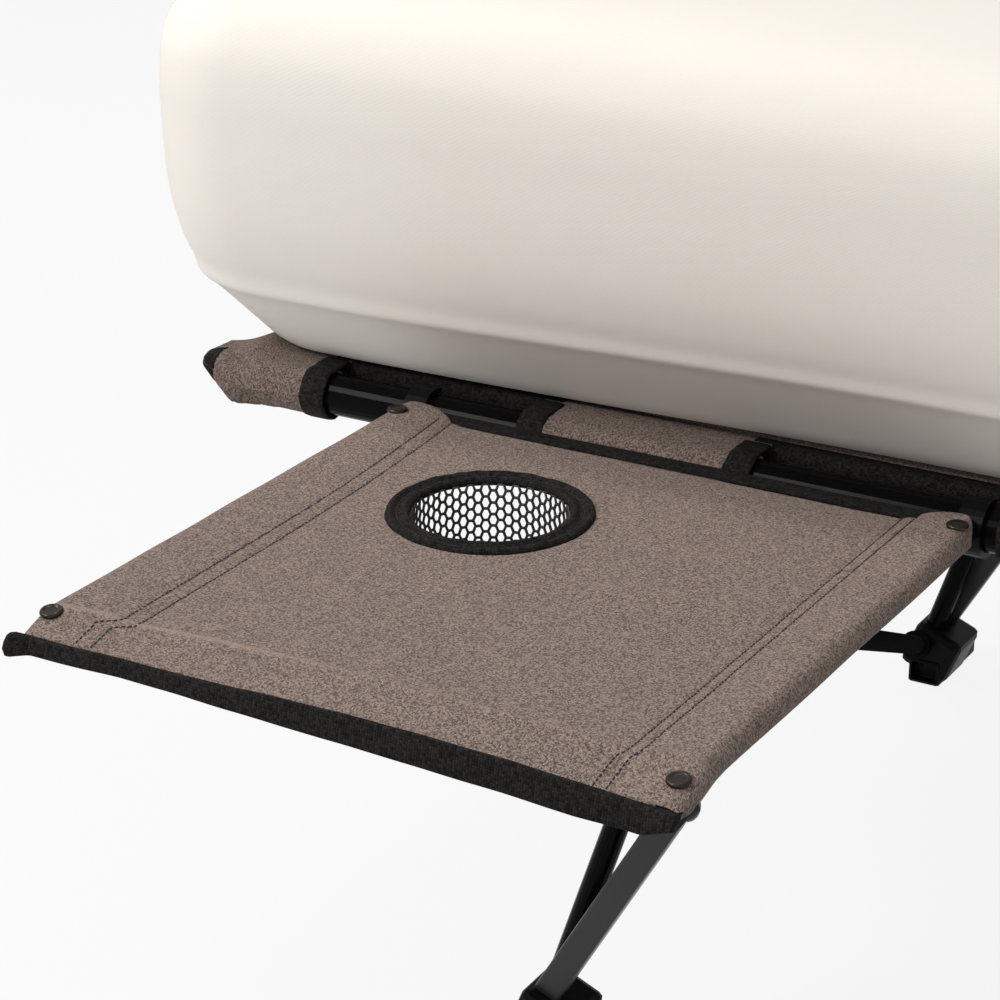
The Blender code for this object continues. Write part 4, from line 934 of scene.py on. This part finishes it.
# ---- table edge binding
# Black tape is folded over the table's outer edge and lies a little unevenly. A second strip
# finishes the inner edge between the two hooks.
BAND = ((-0.838, 0.4708, 10), (-0.800, 0.4712, 10), (-0.760, 0.4720, 10), (-0.720, 0.4718, 10.5),
        (-0.690, 0.4723, 12), (-0.655, 0.4738, 14.5), (-0.620, 0.4744, 16), (-0.570, 0.4740, 17),
        (-0.520, 0.4728, 17.5), (-0.480, 0.4709, 17.2), (-0.455, 0.4694, 15.8), (-0.442, 0.4686, 15.2),
        (-0.4235, 0.4678, 7.5))
BAND_X, BAND_Z, BAND_DEEP = zip(*BAND)
rows = []
for k in range(170):
    x = BAND_X[0] + (BAND_X[-1] - BAND_X[0]) * k / 169
    height, deep = float(np.interp(x, BAND_X, BAND_Z)), float(np.interp(x, BAND_X, BAND_DEEP)) / 1000
    height += ripple((x, 0, 0), 26.0, 0.0005, 61.0)
    lean = 0.0030 + 0.10 * (deep - 0.010) + ripple((x, 5, 0), 14.0, 0.0011, 71.0)
    thick = 0.0032 + 0.0058 * max(0.0, (x + 0.452) / 0.024)
    tail = max(0.0, (x + 0.452) / 0.0235)
    curl = max(0.0, (-0.822 - x) / 0.016)
    thick += 0.0078 * curl
    deep, height = deep * (1 + 0.45 * curl), height + 0.0022 * curl
    if x < -0.834:
        shrink = 1 - 0.65 * ((-0.834 - x) / 0.004) ** 2
        deep, thick, height = deep * shrink, thick * shrink, height - 0.5 * deep * (1 - shrink)
    row = []
    for u, v in tape_section(1.0, 1.0, 6):
        down = 0.5 + u
        y = OUTER_Y - 0.0012 - lean * down - thick * v * (1 + tail * (1.1 * down if v < 0 else 0.0))
        z = height + 0.0010 - deep * down
        if curl > 0:
            y = OUTER_Y - 0.0012 + (y - OUTER_Y + 0.0012) * (1 - 0.25 * curl) - 0.004 * curl
            z -= 0.0010 * curl
        row.append((x, y, z))
    rows.append(row)
tape("table_outer_tape", rows, "table", "table_outer_binding")
inner_tape = tape_section(0.0148, 0.0026, 6)
rows = []
left, right = POLES[0] + 0.0245, POLES[1] - 0.0245
for k in range(90):
    x = left + (right - left) * k / 89
    wander = ripple((x, 9, 0), 12.0, 0.0008, 73.0)
    rows.append([(x, INNER_Y - 0.0072 + u, FLAT - 0.0004 + v + wander) for u, v in inner_tape])
tape("table_inner_tape", rows, "table", "table_inner_strip")

# ---- cup holder's ring
# A wide ring of black bias tape binds the cloth round the cup hole. It is folded in under its inner
# and outer edges, which stand up as soft rolls, and stitched down between them.
ring_profile = ((0.0492, -0.0014), (0.0487, 0.0004), (0.0492, 0.0021), (0.0504, 0.0031), (0.0518, 0.0031),
                (0.0532, 0.0020), (0.0548, 0.0012), (0.0566, 0.0011), (0.0582, 0.0018), (0.0598, 0.0029),
                (0.0614, 0.0030), (0.0627, 0.0019), (0.0634, 0.0004), (0.0630, -0.0002), (0.0560, -0.0002))
rows = []
for k in range(200):
    angle = 2 * pi * k / 200
    row = []
    for radius, height in ring_profile:
        lump = ripple((cos(angle), sin(angle), radius * 40), 5.5, 0.0007, 81.0)
        fold = ripple((cos(angle), sin(angle), radius * 60), 16.0, 0.00035, 83.0)
        row.append((CUP[0] + (radius + 0.5 * lump) * cos(angle), CUP[1] + (radius + 0.5 * lump) * sin(angle),
                    FLAT - 0.0002 + height + (lump + fold if height > 0.0003 else 0.0)))
    rows.append(row)
rows.append(rows[0])
ring = close_ends(skin("cup_ring_tape", rows, black_tape), 0.000005, fill_holes=False)
settle(thicken(ring, 0.0006, 0.0), "table", "black_webbing", "cup_ring")
SEAM_R = 0.0565
lines = [[(CUP[0] + SEAM_R * cos(2 * pi * k / 90), CUP[1] + SEAM_R * sin(2 * pi * k / 90), FLAT + 0.0013)
          for k in range(91)]]
threads("cup_ring_stitching", lines, "table", "black_webbing", thread_black, 0.0032, 0.0024, 0.00026)

# ---- cup net
# A round bucket of black knitted net hangs in the ring. Its strands enclose staggered round-cornered
# holes about 5 mm across, on the wall and on the base.
NET_R, NET_DEEP, BASE_R = 0.0484, 0.0905, 0.0428
COLUMN_PITCH, HOLE_PITCH = 0.0047, 0.0078


def spin_strands(tree, given):
    """Round strands along a lattice of edges."""
    wires = node(tree, "GeometryNodeMeshToCurve", {"Mesh": given["Geometry"]})
    section = node(tree, "GeometryNodeCurvePrimitiveCircle",
                   {"Resolution": 6, "Radius": given["Strand radius"]}, mode="RADIUS")
    return node(tree, "GeometryNodeCurveToMesh", {"Curve": wires.outputs[0],
                                                  "Profile Curve": section.outputs["Curve"]}).outputs[0]


net_strands = geometry_group("net_strands", {"Strand radius": 0.0005}, spin_strands)
net_yarn = worn("black_net_yarn", (0.012, 0.0115, 0.012), (0.05, 0.05, 0.05), 0.1, 0.0004, 0.5, 0.62, 0.5)


def hexes(cells, around, place):
    """Six-sided cells, each a column and a row that are half a row lower in every other column."""
    points, edges, known = [], set(), {}

    def at(u, v):
        key = (round(u * 3) % around if around else round(u * 3), round(v * 2))
        if key not in known:
            known[key] = len(points)
            points.append(place(u * COLUMN_PITCH, v * HOLE_PITCH))
        return known[key]

    for column, row in cells:
        u, v = float(column), row + 0.5 * (column % 2)
        ring = [at(u - 2 / 3, v), at(u - 1 / 3, v + 0.5), at(u + 1 / 3, v + 0.5), at(u + 2 / 3, v),
                at(u + 1 / 3, v - 0.5), at(u - 1 / 3, v - 0.5)]
        for a, b in zip(ring, ring[1:] + ring[:1]):
            edges.add((min(a, b), max(a, b)))
    return points, sorted(edges)


columns = 2 * round(pi * NET_R / COLUMN_PITCH)
wall_rows = int(NET_DEEP / HOLE_PITCH)


def on_wall(u, v):
    """A point of the net's wall, which draws in a little downwards and turns in at its foot."""
    angle = 2 * pi * u / (columns * COLUMN_PITCH)
    down = v + 0.0045
    wave = ripple((cos(angle), sin(angle), down * 20), 3.0, 0.0012, 91.0)
    reach = NET_R - 0.0016 * (down / NET_DEEP) + wave
    turn = max(0.0, (down - NET_DEEP + 0.008) / 0.008)
    reach -= 0.004 * turn * turn
    return Vector((CUP[0] + reach * cos(angle), CUP[1] + reach * sin(angle), FLAT - 0.0002 - down)) + BED


def on_base(u, v):
    """A point of the net's base, which sags a little in its middle."""
    far = sqrt(u * u + v * v)
    hold = min(1.0, BASE_R / max(far, 1e-6))
    sag = -0.0018 * (1 - (min(far, BASE_R) / BASE_R) ** 2)
    bottom = FLAT - 0.0047 - wall_rows * HOLE_PITCH
    return Vector((CUP[0] + u * hold, CUP[1] + v * hold, bottom + sag)) + BED


wall_points, wall_edges = hexes([(c, r) for c in range(columns) for r in range(wall_rows)],
                                3 * columns, on_wall)
on_base_cells = [(c, r) for c in range(-10, 11) for r in range(-7, 8)
                 if (c * COLUMN_PITCH) ** 2 + (r * HOLE_PITCH) ** 2 < 0.0460 ** 2]
base_points, base_edges = hexes(on_base_cells, 0, on_base)
shift = len(wall_points)
net_mesh = bpy.data.meshes.new("cup_net_strands")
net_mesh.from_pydata(wall_points + base_points,
                     wall_edges + [(a + shift, b + shift) for a, b in base_edges], [])
net = run_nodes(placed("cup_net_strands", net_mesh), net_strands,
                {"Strand radius": 0.00092, "Material": net_yarn})
settle(net, "table", "black_net", "cup_net")

# ---- snap fasteners
# A dark plated cap at each corner of the table pins the cloth to its pole. Each has a rolled rim
# and a sunken middle.
plated = worn("dark_plated_snap", (0.034, 0.028, 0.024), (0.10, 0.085, 0.07), 0.2, 0.0007, 0.15, 0.38,
              0.24, 0.9)
snap_profile = ((0.0, 0.0010), (0.0020, 0.0010), (0.0034, 0.0009), (0.0042, 0.0011), (0.0048, 0.0016),
                (0.0055, 0.0018), (0.0062, 0.0015), (0.0067, 0.0008), (0.0068, 0.0000), (0.0066, -0.0004))
for row in ("inner", "outer"):
    for column, x in zip(("left", "right"), POLES):
        name = f"snap_{row}_{column}"
        low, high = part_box(name)
        centre = (low + high) / 2 - BED
        tilt = Matrix.Rotation(atan2(0.16, 1.0) if row == "outer" else 0.0, 3, "X")
        crest = cloth_place(x, POLE_Z + HEM_R, centre.y, True) + 0.0002
        middle, around = Vector((centre.x, centre.y, crest)), [2 * pi * k / 36 for k in range(36)]
        rows = [[middle + tilt @ Vector((radius * cos(angle), radius * sin(angle), height))
                 for angle in around] for radius, height in snap_profile]
        cap = close_ends(skin(f"snap_cap_{row}_{column}", rows, plated, closed=True), 0.000005)
        settle(cap, "table", "dark_snap", name)
